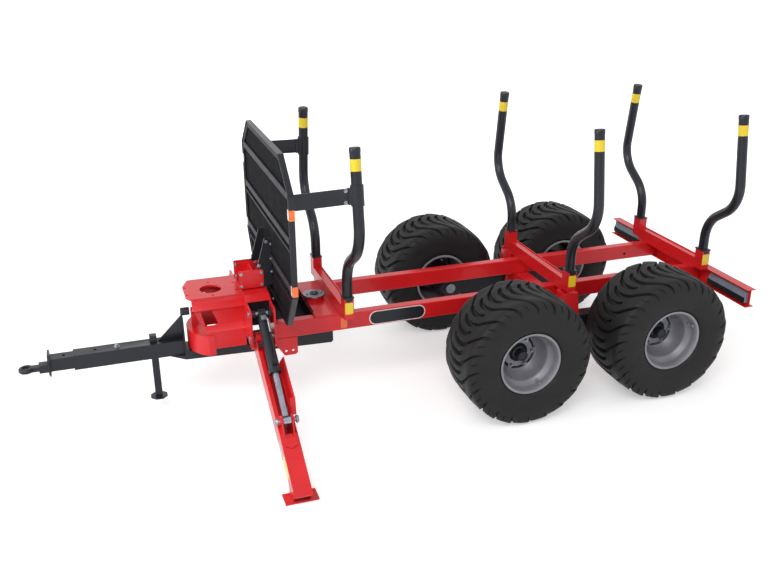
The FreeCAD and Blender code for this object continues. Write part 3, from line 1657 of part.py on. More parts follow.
def make_hitch():
    """The inner tube, its end plate, the shank and the round towing eye."""
    gap = S.tube_wall + S.slide_gap / 2
    low, high = S.tube_bottom + gap, S.tube_bottom + S.tube_height - gap
    half = S.tube_width / 2 - gap
    wall = S.tube_wall
    outer = rectangle((-half, half), (low, high))
    inner = rectangle((-half + wall, half - wall), (low + wall, high - wall))
    front = S.slide_front
    tube = plate("hitch_tube", "YZ", [outer, inner], (front - S.slide_length, front))
    z_span = (low - 10, high + 10)
    front_hole_x = S.tube_hole_x + S.tube_hole_pitch + 25
    holes = [
        rod("hitch_lock_hole", "Z", S.lock_bolt_radius + S.fit_gap, z_span, (S.lock_bolt_x, 0, 0)),
        rod("hitch_spare_hole", "Z", S.lock_bolt_radius, z_span, (S.tube_hole_x, 0, 0)),
        rod("hitch_front_hole", "Z", S.lock_bolt_radius, z_span, (front_hole_x, 0, 0)),
    ]
    slide = cut("hitch_slide", tube, *holes)
    plate_half = S.hitch_plate_half
    mid_z = S.tube_bottom + S.tube_height / 2
    corner = plate_half * 0.35
    plate_loop = both_sides([
        (dim(0), mid_z - plate_half),
        (plate_half - corner, mid_z - plate_half),
        (plate_half, mid_z - plate_half + corner),
        (plate_half, mid_z + plate_half - corner),
        (plate_half - corner, mid_z + plate_half),
        (dim(0), mid_z + plate_half),
    ])
    end_plate = plate("hitch_plate", "YZ", [plate_loop], (front, front + S.hitch_plate_thickness))
    eye_low, eye_high = spread(S.eye_z, S.eye_thickness / 2)
    shank_front = S.eye_x - S.eye_outer_radius * 0.7
    step_x = front + S.hitch_plate_thickness + 62
    shank_half = S.shank_width / 2
    shank_x = (front + S.hitch_plate_thickness, step_x)
    shank = box("hitch_shank", shank_x, (-shank_half, shank_half), spread(S.eye_z, S.shank_height / 2))
    neck_half = shank_half * 0.72
    neck = box("hitch_neck", (step_x, shank_front), (-neck_half, neck_half), (eye_low, eye_high))
    eye_outline = [
        (S.eye_bore_radius, eye_low),
        (S.eye_outer_radius - 8, eye_low),
        (S.eye_outer_radius, eye_low + 8),
        (S.eye_outer_radius, eye_high - 8),
        (S.eye_outer_radius - 8, eye_high),
        (S.eye_bore_radius, eye_high),
    ]
    eye = turned("hitch_eye", "Z", eye_outline, (S.eye_x, 0, 0))
    node("hitch", fuse("hitch", slide, end_plate, shank, neck, eye))


def make_lock_bolt():
    """The bolt that holds the hitch's inner tube, with its head on top and nut below."""
    low, high = S.tube_bottom, S.tube_bottom + S.tube_height
    radius = S.lock_bolt_radius
    outline = [
        (0, low - 14),
        (radius + 7, low - 14),
        (radius + 7, low),
        (radius, low),
        (radius, high),
        (radius + 8, high),
        (radius + 8, high + 14),
        (0, high + 14),
    ]
    node("lock_bolt", turned("lock_bolt", "Z", outline, (S.lock_bolt_x, 0, 0)))


def make_prop():
    """The square prop that slides through the drawbar's tube, on its eight-sided foot."""
    wall = S.prop_wall
    low, high = S.prop_foot_z, S.prop_top
    x = S.prop_x
    outer = square(x, 0, S.prop_width)
    inner = square(x, 0, S.prop_width - 2 * wall)
    tube = plate("prop_tube", "XY", [outer, inner], (low, high - wall))
    cap = plate("prop_cap", "XY", [outer], (high - wall, high))
    foot_loop = []
    for corner in range(8):
        angle = math.radians(22.5 + 45 * corner)
        foot_loop.append((x + S.prop_foot_radius * math.cos(angle), S.prop_foot_radius * math.sin(angle)))
    foot = plate("prop_foot", "XY", [foot_loop], (low, low + S.prop_foot_thickness))
    node("prop_stand", fuse("prop_stand", tube, cap, foot))


# ---------------------------------------------------------------- build, check and write
def check_document():
    """Every object must be computed without a fault, and every sub-part a valid solid."""
    for obj in doc.Objects:
        if "Invalid" in obj.State or "Error" in obj.State:
            raise RuntimeError(obj.Label + " is " + ", ".join(obj.State))
    for label, obj in nodes.items():
        if obj.Shape.isNull() or not obj.Shape.isValid() or not obj.Shape.Solids:
            raise RuntimeError(label + " has no valid solid")


def write_parts():
    os.makedirs("parts", exist_ok=True)
    for label, obj in nodes.items():
        obj.Shape.exportStep(os.path.join("parts", label + ".step"))


make_rails()
make_rear_beam()
make_lamps()
make_bolsters_and_stakes()
make_headboard()
make_headboard_brackets()
make_arms()
make_pivot_plates()
make_king_pin()
make_crane_stand()
make_stand_nose()
make_crane_flange()
make_leg_frame()
make_leg_pins()
make_rail_lugs()
make_bogie_mount()
make_walking_beams()
make_stub_axles()
make_wheels()
make_legs_and_rams()
make_drawbar_beam()
make_drawbar_post()
make_drawbar_tube()
make_hitch()
make_lock_bolt()
make_prop()
doc.recompute()
check_document()
write_parts()
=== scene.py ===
"""The finish of a forestry trailer: treads, rims, fastenings, markings, paint, light and camera.

Metres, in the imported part's own frame: +X forward, +Y to the left, +Z up.
"""

import json
import math

import bmesh
import bpy
from mathutils import Matrix, Vector

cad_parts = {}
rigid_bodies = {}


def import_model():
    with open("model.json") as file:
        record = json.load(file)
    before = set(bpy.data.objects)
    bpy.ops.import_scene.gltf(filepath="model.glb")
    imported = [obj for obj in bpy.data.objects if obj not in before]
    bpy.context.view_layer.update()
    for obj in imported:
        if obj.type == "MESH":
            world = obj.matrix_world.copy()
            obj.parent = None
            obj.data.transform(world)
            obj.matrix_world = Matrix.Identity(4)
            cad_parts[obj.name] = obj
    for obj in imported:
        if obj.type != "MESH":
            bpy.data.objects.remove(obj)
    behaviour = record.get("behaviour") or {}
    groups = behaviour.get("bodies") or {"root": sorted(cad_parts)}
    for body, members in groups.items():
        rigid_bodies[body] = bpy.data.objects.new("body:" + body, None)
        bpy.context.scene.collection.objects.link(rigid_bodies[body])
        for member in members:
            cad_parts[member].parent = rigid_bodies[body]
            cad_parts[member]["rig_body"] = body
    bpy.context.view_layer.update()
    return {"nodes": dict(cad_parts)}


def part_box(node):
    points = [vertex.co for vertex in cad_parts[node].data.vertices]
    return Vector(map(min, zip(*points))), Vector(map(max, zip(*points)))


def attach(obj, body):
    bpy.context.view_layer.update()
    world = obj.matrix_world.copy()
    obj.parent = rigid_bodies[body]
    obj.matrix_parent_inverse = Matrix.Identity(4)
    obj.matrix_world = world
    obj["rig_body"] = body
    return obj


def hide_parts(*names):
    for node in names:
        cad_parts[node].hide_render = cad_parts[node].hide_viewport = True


SIDES = (("left", 1), ("right", -1))
ENDS = ("front", "rear")
ROWS = ("front", "middle", "rear")
FORWARD, BACKWARD = (1, 0, 0), (-1, 0, 0)
LEFT, RIGHT = (0, 1, 0), (0, -1, 0)
UP, DOWN = (0, 0, 1), (0, 0, -1)

# The camera that took the photograph: its place, its turn from the X axis, its dip, roll and lens.
CAMERA_PLACE = (1.9599, 5.8609, 3.2796)
CAMERA_YAW = math.radians(-108.4632)
CAMERA_DIP = math.radians(22.3987)
CAMERA_ROLL = math.radians(0.2664)
CAMERA_LENS = 42.06

# Tyre: the CAD tyre's section, from the crown's middle to the bead, as (radius, offset).
TYRE_RADIUS = 0.4725
TYRE_SECTION = (
    (0.4725, 0.0), (0.4725, 0.07), (0.4705, 0.135), (0.4665, 0.185), (0.454, 0.215),
    (0.43, 0.23), (0.4025, 0.237), (0.37, 0.2395), (0.338, 0.2395), (0.293, 0.236),
    (0.26, 0.229), (0.238, 0.217), (0.23, 0.206), (0.216, 0.2045),
)
# Tread: how far the pattern trails behind its middle, by length across the section.
TREAD_LEAN = (
    (0.0, 0.0), (0.045, 0.003), (0.094, 0.021), (0.139, 0.064), (0.172, 0.092), (0.213, 0.131),
    (0.256, 0.159), (0.29, 0.166),
)
PITCHES = 20
GROOVE_DEPTH = 0.026
GROOVE_BLIND_END = 0.0935
GROOVE_ROUND = 0.078
GROOVE_SIDE_END = 0.3
GROOVE_HOOK = 0.016
GROOVE_EDGE = 0.003
GROOVE_WIDTHS = (
    (-0.0935, 0.015), (0.0, 0.0175), (0.09, 0.0175), (0.16, 0.015), (0.22, 0.013),
    (0.265, 0.011), (0.3, 0.005),
)
GROOVE_DEPTHS = ((-0.0935, 0.85), (0.0, 1.0), (0.19, 1.0), (0.24, 0.75), (0.27, 0.4), (0.3, 0.0))
# Rows of points: listed over the groove's blind end, then evenly over the arm and the wall.
BLIND_ROWS = (0, 0.02, 0.04, 0.055, 0.066, 0.074, 0.081, 0.087, 0.091, 0.0935, 0.0955)
ARM_START = 0.103
ARM_STEP = 0.0095
ARM_ROWS = 22
WALL_ROWS = 24
# Between the long grooves, a short notch in the shoulder; and each lug stands down to one side.
NOTCH_START = 0.205
NOTCH_END = 0.274
NOTCH_WIDTH = 0.0085
NOTCH_DEPTH = 0.01
LUG_DROP = 0.0065
LUG_DROP_SHARES = ((0.0, 0.0), (0.085, 0.0), (0.13, 1.0), (0.25, 1.0), (0.31, 0.0), (1.0, 0.0))
WALL_RINGS = ((0.405, 0.0012), (0.3, 0.0012), (0.262, 0.0018))
RING_WIDTH = 0.0022
# Each tyre starts a little further round than the last, so that no two look alike.
TYRE_TURN = 0.09

# Rim: one closed section from the outer lip, over the bowl and disc and back, as (radius, offset).
SLOT_OUTER = (0.127, 0.0143)
SLOT_INNER = (0.108, 0.013)
RIM_FACE = (
    (0.225, 0.2095), (0.225, 0.213), (0.2225, 0.2135), (0.216, 0.2135), (0.2095, 0.2105),
    (0.205, 0.2), (0.201, 0.185), (0.199, 0.16), (0.196, 0.153), (0.178, 0.125),
    (0.172, 0.118), (0.17, 0.11), (0.166, 0.085), (0.156, 0.055), (0.14, 0.028),
    (0.13, 0.0165), SLOT_OUTER, SLOT_INNER, (0.07, 0.013),
)
RIM_BACK = (
    (0.07, 0.003), (0.108, 0.003), (0.127, 0.003), (0.131, 0.003), (0.144, 0.018),
    (0.162, 0.05), (0.174, 0.085), (0.178, 0.113), (0.202, 0.142), (0.205, 0.13),
    (0.205, -0.2), (0.206, -0.21), (0.2085, -0.2135), (0.2225, -0.2135), (0.225, -0.213),
    (0.225, -0.2095), (0.215, -0.209), (0.214, -0.205), (0.214, 0.205), (0.215, 0.209),
)
RIM_STEPS = 96
SLOTS = 6
SLOT_STEPS = 13
NUT_CIRCLE = 0.102
NUT_START = 0.0128
NUT_SIZE = 0.024
LAND_TURN = math.radians(29)
# The hub, from its middle behind the disc to its cap's face, as (radius, offset).
HUB = (
    (0.0, -0.036), (0.0305, -0.036), (0.0305, -0.269), (0.064, -0.269), (0.078, -0.26),
    (0.078, -0.042), (0.127, -0.036), (0.127, -0.006), (0.1, -0.005), (0.1, 0.0025),
    (0.069, 0.0025), (0.069, 0.01), (0.06, 0.014), (0.056, 0.019), (0.052, 0.03),
    (0.04, 0.035), (0.0385, 0.04), (0.038, 0.082), (0.0355, 0.088), (0.03, 0.0905),
    (0.028, 0.087), (0.0, 0.086),
)
HUB_TEETH = 6
HUB_TOOTH = (0.014, 0.012, 0.004)
HUB_TOOTH_SPOT = (0.03, 0, 0.0862)
VALVE_TURNS = {"front": 207, "rear": 294}
VALVE_FOOT = (0.189, 0.145)
VALVE_TIP = (0.196, 0.196)

# Stakes: the straight top of the middle line, across from the socket's middle, and its heights.
STAKE_SWING = 0.328
STAKE_LEAN = 0.092
STAKE_BEND = 1.337
STAKE_TOP = 1.98
STAKE_RADIUS = 0.036
SOCKET_HALF_DEPTH = 0.045
# The band and the cap on a stake's end, as (past the stake's radius, height).
BAND_DROP = 0.146
BAND_OUTLINE = ((-0.001, 0), (0.0008, 0.0006), (0.0008, 0.0754), (-0.001, 0.076))
CAP_OUTLINE = (
    (-0.001, -0.03), (0.0014, -0.029), (0.0014, -0.003), (-0.001, 0.0015), (-0.008, 0.0035),
    (-STAKE_RADIUS, 0.0045),
)

# The lowered leg: its angle below level, its pivot, and the ram's two pins.
LEG_ANGLE = math.radians(27.503)
LEG_X = 0.995
LEG_PIVOT = (0.35, 0.64)
RAM_PIN = Vector((LEG_X, 0.36, 0.824))
ROD_PIN = Vector((LEG_X, 1.0367, 0.3738))
LEG_HALF_WIDTH = 0.058
PIN_HEAD_START = 0.046
GUSSET_START = 0.835
GUSSET_UP = 0.0318
GUSSET = ((0.0, -0.044), (0.052, -0.044), (0.074, 0.0), (0.052, 0.044), (0.0, 0.044))
# Stickers: name, finish, start and length along the leg, lower edge and width; and of each
# its corner radius, thickness and rounded edge.
STICKER_EDGES = (0.003, 0.0009, 0.0003)
STICKERS = (
    ("pale_sticker", "grey_film", 0.8, 0.11, -0.08, 0.06),
    ("bright_sticker", "yellow_film", 0.926, 0.152, -0.076, 0.088),
)
# The ram's oil ports, its pipe's bends as (rearward, along, up) from the top port, its gland.
LOW_PORT = dict(along=0.412, up=0.033, size=(0.034, 0.03, 0.016), edge=0.002, bolt=0.018)
TOP_PORT = dict(along=0.068, up=0.034, size=(0.036, 0.034, 0.018), edge=0.003, bolt=0.019)
PIPE_BENDS = (
    (0, 0, 0), (0.01, 0.006, 0), (0.014, 0.02, 0), (0.014, 0.06, -0.003), (0.014, 0.11, -0.006),
)
PIPE_RADIUS = 0.0075
GLAND_START = 0.4395

# The headboard: its corners' cuts as (across, up), and the edging round it.
BOARD_TOP_CUT = (0.24, 0.2)
BOARD_LOW_CUT = (0.205, 0.275)
EDGING = 0.003
STRIP_HEIGHTS = (1.733, 1.437, 1.116)
STRIP_SIZE = (1.47, 0.044, 0.006)
BOARD_MARK_HEIGHTS = (1.618, 1.118)
BOARD_MARK_INSET = 0.019
ARM_REAR = Vector((0.462, 0.7131, 1.686))
ARM_FRONT = Vector((0.83, 0.74, 1.686))
ARM_LAP_HEIGHT = 1.697
ARM_BOLT_START = 0.026
ARM_BOLT_RISE = 0.038

# Rails and bolsters, with places on the rail's face as (x, z).
SOCKET_REFLECTOR_HEIGHT = 0.819
SCOOP_SIZE = (0.028, 0.027)
SCOOP_STEP = 0.0012
RAIL_REFLECTOR_SPOT = (0.41, 0.652)
PLATE_SPOT = (0.012, 0.6565)
RAIL_HOLE_SPOT = (-2.2284, 0.6447)
BOLSTER_HEIGHT = 0.098
BOLSTER_WALL = 0.006
BOLSTER_FLOOR = 0.008

# Dull black plates that paint the shade at the pivot gap and inside the leg frames, and the spacers
# on the ram's upper pin.
PIVOT_SHADE_LENGTH = 0.206
PIVOT_SHADE_BACK_HEIGHT = 0.6785
PIVOT_SHADE_FLOOR_HEIGHT = 0.614
PIVOT_SHADE_SIDE_HEIGHT = 0.664
LEG_SHADE_PLATE_ACROSS = 0.268
LEG_SHADE_PLATE_HEIGHT = 0.7865
SPACER_GAP = 0.0015
SPACER_RADIUS = 0.0215

# Flat plates: size, corner radius, thickness, rounded edge, and a large corner's steps.
SOCKET_REFLECTOR = ((0.057, 0.084), 0.007, 0.0028, 0.001)
RAIL_REFLECTOR = ((0.046, 0.078), 0.004, 0.0022, 0.0008)
PLATE_RIM = ((0.424, 0.105), 0.052, 0.0012, 0.0004, 12)
BLANK_PLATE = ((0.41, 0.092), 0.0455, 0.0022, 0.0006, 12)
AMBER_MARK = ((0.037, 0.068), 0.003, 0.003, 0.001)
WHITE_MARK = ((0.034, 0.066), 0.003, 0.003, 0.001)
ARM_LAP = ((0.038, 0.084), 0.002, 0.004, 0.001)
CLAMP_COVER_THICK = 0.007
CLAMP_COVER = ((0.168, 0.13), 0.006, CLAMP_COVER_THICK, 0.0015)

# Bolts, by size across flats, and where they sit.
BOLT = 0.014
SMALL_BOLT = 0.013
LOCK_BOLT = 0.024
LOCK_BOLT_RADIUS = 0.011
BOARD_BOLT_HEIGHTS = (0.815, 1.021, 1.116, 1.222)
BOARD_BOLT_OUT = 0.014
BRACKET_BOLTS = ((0.948, 1.068, BOLT), (0.888, 1.236, SMALL_BOLT))
CLAMP_BOLT_HEIGHTS = (0.932, 1.021)
CLAMP_BOLT_REACH = 0.07
KING_PIN_SCREW_REACH = 0.052

# Small turned forms, as (radius, height).
RAIL_HOLE = ((0.011, 0), (0.011, 0.0006), (0, 0.0008))
GREASE_RING = ((0.034, 0), (0.033, 0.004), (0.024, 0.004), (0.021, 0.001), (0, 0.001))
GREASE_NIPPLE = (
    (0.007, 0), (0.007, 0.006), (0.0035, 0.008), (0.0035, 0.013), (0.005, 0.015), (0.004, 0.018),
    (0, 0.0185),
)
PIN_HEAD = (
    (0.0148, 0), (0.0148, 0.012), (0.0235, 0.012), (0.0255, 0.014), (0.0255, 0.022),
    (0.0215, 0.029), (0.012, 0.0315), (0, 0.032),
)
GLAND_RING = ((0.04, 0), (0.0415, 0.002), (0.0415, 0.012), (0.04, 0.014))

# Lamps: each lens as (place across the housing, width).
LAMP_LENGTH = 0.215
RED_LENS = (-0.033, 0.128)
AMBER_LENS = (0.068, 0.062)
LENS_RIBS = 7
COVER_LENGTH = 0.43

# Meshes: points closer than MERGE become one; edges sharper than SHARP_ANGLE degrees stay sharp.
MERGE = 0.00002
SHARP_ANGLE = 35

# The sky's light, and how the floor brightens to white between two distances.
SKY_STRENGTH = 0.42
FLOOR_LIFT = 0.42
FLOOR_REACH = (3, 9)
FLOOR_RADIUS = 90


def srgb(red, green, blue):
    """A colour written as on a screen, 0 to 255, as the linear colour that a shader takes."""
    shares = [value / 255 for value in (red, green, blue)]
    return [s / 12.92 if s <= 0.04045 else ((s + 0.055) / 1.055) ** 2.4 for s in shares] + [1]


# ---- materials
# Where most of a noise texture's values lie.
NOISE_SPREAD = (0.3, 0.7)


def map_range(tree, value, spread, readings):
    """value, over its spread from low to high, turned into readings from low to high."""
    node = tree.nodes.new("ShaderNodeMapRange")
    for name, limit in zip(("From Min", "From Max", "To Min", "To Max"), spread + readings):
        node.inputs[name].default_value = limit
    tree.links.new(value, node.inputs["Value"])
    return node.outputs["Result"]


class Finish:
    """One procedural material, built up node by node around its shader."""

    def __init__(self, name, **values):
        self.material = bpy.data.materials.new(name)
        self.material.use_nodes = True
        self.tree = self.material.node_tree
        self.shader = self.tree.nodes["Principled BSDF"]
        for key, value in values.items():
            self.shader.inputs[key.replace("_", " ")].default_value = value
        self.place = self.add("ShaderNodeTexCoord").outputs["Object"]

    def add(self, kind, **inputs):
        """A new node, with values for some of its inputs."""
        node = self.tree.nodes.new(kind)
        for key, value in inputs.items():
            node.inputs[key].default_value = value
        return node

    def link(self, source, target):
        self.tree.links.new(source, target)

    def noise(self, scale, detail, stretch=(1, 1, 1)):
        """The value of a noise texture, drawn out along the axes by stretch."""
        mapping = self.add("ShaderNodeMapping", Scale=stretch)
        self.link(self.place, mapping.inputs["Vector"])
        texture = self.add("ShaderNodeTexNoise", Scale=scale, Detail=detail)
        self.link(mapping.outputs["Vector"], texture.inputs["Vector"])
        return texture.outputs[0]

    def colour(self, value, dark, light):
        """The base colour goes from dark to light over the middle of value's spread."""
        ramp = self.add("ShaderNodeValToRGB")
        for element, position, shade in zip(ramp.color_ramp.elements, NOISE_SPREAD, (dark, light)):
            element.position = position
            element.color = srgb(*shade)
        self.link(value, ramp.inputs["Fac"])
        self.link(ramp.outputs["Color"], self.shader.inputs["Base Color"])

    def roughness(self, value, low, high):
        reading = map_range(self.tree, value, NOISE_SPREAD, (low, high))
        self.link(reading, self.shader.inputs["Roughness"])

    def bump(self, value, height, strength):
        bump = self.add("ShaderNodeBump", Distance=height, Strength=strength)
        self.link(value, bump.inputs["Height"])
        self.link(bump.outputs["Normal"], self.shader.inputs["Normal"])


def paint(name, dark, light, rough, **values):
    """Sprayed enamel: faintly mottled colour, orange peel and a smooth clear skin."""
    finish = Finish(name, Coat_Roughness=0.08, **values)
    finish.colour(finish.noise(2.2, 4), dark, light)
    finish.roughness(finish.noise(9, 5), rough - 0.04, rough + 0.05)
    finish.bump(finish.noise(140, 2), 0.00012, 0.2)
    return finish.material


def streaked(name, dark, light, **values):
    """Dull black enamel over upright bars, some of them darker than their neighbours; the same finish
    colours the plates that paint shade.
    """
    finish = Finish(name, **values)
    streaks = finish.noise(13, 1, (1, 1, 0.02))
    finish.colour(streaks, dark, light)
    finish.roughness(finish.noise(20, 4), 0.5, 0.62)
    finish.bump(finish.noise(140, 2), 0.00012, 0.2)
    return finish.material


def rubber():
    """Dull black rubber with a fine moulded grain and slightly greyer patches."""
    finish = Finish("tyre_rubber", Specular_IOR_Level=0.25)
    finish.colour(finish.noise(7, 6), (24, 24, 25), (30, 30, 31))
    finish.roughness(finish.noise(14, 5), 0.5, 0.66)
    finish.bump(finish.noise(380, 4), 0.0003, 0.4)
    return finish.material


def bare_metal(name, dark, light, rough):
    finish = Finish(name, Metallic=1.0)
    finish.colour(finish.noise(18, 4), dark, light)
    finish.roughness(finish.noise(90, 4), rough - 0.05, rough + 0.08)
    finish.bump(finish.noise(260, 3), 0.0001, 0.2)
    return finish.material


def rim_lacquer():
    """Silver-grey rim lacquer, part metallic, with a fine flake."""
    finish = Finish("rim_lacquer", Metallic=0.4, Specular_IOR_Level=0.35)
    finish.colour(finish.noise(5, 5), (128, 128, 134), (148, 148, 155))
    finish.roughness(finish.noise(60, 5), 0.42, 0.52)
    finish.bump(finish.noise(500, 2), 0.0001, 0.2)
    return finish.material


def reflective(name, dark, light):
    """Retro-reflective film: bright, with the fine honeycomb of its cells."""
    finish = Finish(name, Coat_Weight=0.5, Coat_Roughness=0.1)
    cells = finish.add("ShaderNodeTexVoronoi", Scale=260)
    finish.link(finish.place, cells.inputs["Vector"])
    finish.colour(cells.outputs["Distance"], light, dark)
    finish.roughness(finish.noise(30, 3), 0.3, 0.4)
    finish.bump(cells.outputs["Distance"], 0.0002, 0.2)
    return finish.material


def make_materials():
    cool = (0.78, 0.87, 1.0, 1.0)
    red = {"Coat_Weight": 0.25, "Specular_IOR_Level": 0.4, "Specular_Tint": cool}
    black = {"Coat_Weight": 0.2, "Specular_IOR_Level": 0.3, "Specular_Tint": cool}
    dull = {"Specular_IOR_Level": 0.12}
    return {
        "red_paint": paint("red_enamel", (202, 22, 25), (218, 30, 34), 0.34, **red),
        "black_paint": paint("black_enamel", (23, 23, 27), (30, 30, 35), 0.38, **black),
        "dull_black": streaked("dull_black", (15, 15, 18), (30, 30, 34), **dull),
        "strip_black": streaked("strip_black", (48, 48, 54), (58, 58, 64), **dull),
        "grey_paint": paint("grey_enamel", (112, 120, 134), (130, 138, 152), 0.4, **black),
        "tyre": rubber(),
        "rim_grey": rim_lacquer(),
        "chrome_rod": bare_metal("hard_chrome", (138, 145, 158), (160, 167, 180), 0.2),
        "steel": bare_metal("zinc_plate", (128, 130, 138), (160, 162, 170), 0.34),
        "lamp_red": paint("lamp_lens", (130, 6, 8), (160, 10, 12), 0.15, Coat_Weight=1.0),
        "yellow_film": reflective("yellow_film", (226, 196, 20), (242, 214, 36)),
        "orange_film": reflective("orange_film", (236, 100, 20), (250, 122, 30)),
        "white_film": reflective("white_film", (226, 214, 212), (240, 232, 230)),
        "grey_film": reflective("grey_film", (168, 166, 166), (186, 184, 184)),
    }


# ---- shapes and pieces
def facing(place, direction, along=UP):
    """A matrix at place: Z points along direction, and X as near to along as it can."""
    z = Vector(direction).normalized()
    x = Vector(along)
    x = (x - z * x.dot(z)).normalized()
    turn = Matrix((x, z.cross(x), z)).transposed().to_4x4()
    return Matrix.Translation(place) @ turn


def mesh_of(name, work):
    """The mesh that was being worked on."""
    mesh = bpy.data.meshes.new(name)
    work.to_mesh(mesh)
    work.free()
    return mesh


def add_object(name, data):
    thing = bpy.data.objects.new(name, data)
    bpy.context.scene.collection.objects.link(thing)
    return thing


def ring(radius, height, steps):
    """Points round the Z axis."""
    angles = [2 * math.pi * step / steps for step in range(steps)]
    return [(radius * math.cos(a), radius * math.sin(a), height) for a in angles]


class Shape:
    """One mesh built up from turned and flat forms, each put in its place by a matrix."""

    def __init__(self):
        self.work = bmesh.new()

    def points(self, place, spots):
        return [self.work.verts.new(place @ Vector(spot)) for spot in spots]

    def skin(self, rows, closed=False):
        """Quads between neighbouring rows of points, each row as long as the next."""
        for row, following in zip(rows, rows[1:]):
            last = len(row) if closed else len(row) - 1
            for index in range(last):
                after = (index + 1) % len(row)
                self.work.faces.new((row[index], row[after], following[after], following[index]))

    def turn(self, outline, place, steps):
        """A form turned about place's Z axis, from (radius, height) points."""
        rows = [self.points(place, ring(r, h, steps)) for r, h in outline]
        self.skin(rows, closed=True)

    def prism(self, outline, place, height, edge):
        """A flat plate: its outline in place's XY plane, its upper edges rounded to edge."""
        low = self.points(place, [(x, y, 0) for x, y in outline])
        high = self.points(place, [(x, y, height) for x, y in outline])
        self.skin([low, high], closed=True)
        self.work.faces.new(low[::-1])
        top = self.work.faces.new(high)
        bmesh.ops.bevel(self.work, geom=list(top.edges), offset=edge, segments=2, affect="EDGES")

    def patch(self, place, size, corner, height, edge, steps=5):
        """A flat plate with round corners about place."""
        self.prism(rounded(*size, corner, steps), place, height, edge)

    def bar(self, size, place, edge):
        """A rectangular bar about place, size long in X and Y, and standing up from it in Z."""
        x, y, height = size[0] / 2, size[1] / 2, size[2]
        self.prism([(-x, -y), (x, -y), (x, y), (-x, y)], place, height, edge)

    def bolt(self, place, size, tail=0.0):
        """A hexagon head on its washer, size across flats; a nut shows tail of its thread."""
        flat = size * 0.13
        wide = size * 0.92
        self.turn([(0, 0), (wide, 0), (wide, flat * 0.7), (wide * 0.94, flat), (0, flat)], place, 20)
        tip = flat + size * 0.6
        edge = size / math.sqrt(3)
        head = [(edge, flat), (edge, tip * 0.86), (edge * 0.84, tip), (0, tip)]
        self.turn(head, place, 6)
        if tail:
            shank = size * 0.3
            end = tip + tail
            self.turn([(shank, tip), (shank, end - 0.001), (shank * 0.8, end), (0, end)], place, 14)

    def tube_along(self, line, radius):
        """A round rod whose middle follows the points of line."""
        rows = []
        for index, point in enumerate(line):
            along = line[min(index + 1, len(line) - 1)] - line[max(index - 1, 0)]
            place = facing(point, along, (0.31, 0.17, 0.94))
            rows.append(self.points(place, ring(radius, 0, 10)))
        self.skin(rows, closed=True)
        self.work.faces.new(rows[0][::-1])
        self.work.faces.new(rows[-1])

    def piece(self, name, finish, body="frame", angle=SHARP_ANGLE):
        """The finished mesh as a piece in its finish, riding on a CAD body."""
        return add_piece(finish_mesh(name, self.work, angle), body, finish)


def finish_mesh(name, work, angle):
    bmesh.ops.remove_doubles(work, verts=work.verts, dist=MERGE)
    bmesh.ops.recalc_face_normals(work, faces=work.faces)
    mesh = mesh_of(name, work)
    smooth(mesh, angle)
    return mesh


def smooth(mesh, angle):
    """Smooth shading, with edges sharper than angle kept."""
    mesh.polygons.foreach_set("use_smooth", [True] * len(mesh.polygons))
    mesh.set_sharp_from_angle(angle=math.radians(angle))


def add_piece(mesh, body, finish):
    """A new piece, named as its mesh, in its finish, on its CAD body."""
    piece = add_object(mesh.name, mesh)
    mesh.materials.append(MATERIALS[finish])
    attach(piece, body)
    return piece


def add_patch(name, finish, place, size, corner, height, edge, steps=5, body="frame"):
    """A flat plate with round corners about place, as a piece of its own."""
    shape = Shape()
    shape.patch(place, size, corner, height, edge, steps)
    shape.piece(name, finish, body)


def soften(node, width):
    """Shows a copy of a CAD node with its edges rounded to width in the node's place."""
    source = frame["nodes"][node]
    work = bmesh.new()
    work.from_mesh(source.data)
    bmesh.ops.remove_doubles(work, verts=work.verts, dist=MERGE)
    flat = math.radians(1)
    bmesh.ops.dissolve_limit(work, angle_limit=flat, verts=work.verts, edges=work.edges)
    mesh = mesh_of(node + "_finished", work)
    mesh.materials.clear()
    smooth(mesh, SHARP_ANGLE)
    finish = OWN_FINISHES.get(node, source.data.materials[0].name)
    piece = add_piece(mesh, source["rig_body"], finish)
    bevel = piece.modifiers.new("rounded_edges", "BEVEL")
    bevel.width = width
    bevel.segments = 2
    bevel.limit_method = "ANGLE"
    bevel.angle_limit = math.radians(SHARP_ANGLE)
    bevel.use_clamp_overlap = False
    bevel.harden_normals = True
    bevel.miter_outer = "MITER_ARC"
    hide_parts(node)
    return piece


def middle_of(node):
    low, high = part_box(node)
    return (low + high) / 2


def body_of(node):
    return frame["nodes"][node]["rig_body"]


def rounded(width, height, radius, steps=5):
    """A rectangle's outline with round corners, about its middle."""
    outline = []
    for quarter, (x, y) in enumerate(((1, 1), (-1, 1), (-1, -1), (1, -1))):
        for step in range(steps + 1):
            angle = math.pi / 2 * (quarter + step / steps)
            across = x * (width / 2 - radius) + radius * math.cos(angle)
            up = y * (height / 2 - radius) + radius * math.sin(angle)
            outline.append((across, up))
    return outline


# ---- tyres
def curve_through(points, steps):
    """Points on a smooth curve (Catmull-Rom) through points, steps to each stretch."""
    line = [Vector(p) for p in points]
    line = [2 * line[0] - line[1]] + line + [2 * line[-1] - line[-2]]
    found = []
    for a, b, c, d in zip(line, line[1:], line[2:], line[3:]):
        for step in range(steps):
            t = step / steps
            found.append(
                0.5 * ((2 * b) + (c - a) * t + (2 * a - 5 * b + 4 * c - d) * t**2
                       + (3 * b - a - 3 * c + d) * t**3)
            )
    return found + [line[-2]]


def read_table(table, value):
    """A straight-line reading of a short table of (value, reading) pairs."""
    for (low, first), (high, second) in zip(table, table[1:]):
        if value <= high:
            return first + (second - first) * (value - low) / (high - low)
    return table[-1][1]


def section_by_length():
    """The tyre's half section as (length from the crown's middle, point, outward normal)."""
    points = curve_through([(r, y, 0) for r, y in TYRE_SECTION], 8)
    rows = []
    length = 0
    for index, point in enumerate(points):
        if index:
            length += (point - points[index - 1]).length
        along = points[min(index + 1, len(points) - 1)] - points[max(index - 1, 0)]
        normal = Vector((along.y, -along.x, 0)).normalized()
        rows.append((length, point, normal))
    return rows


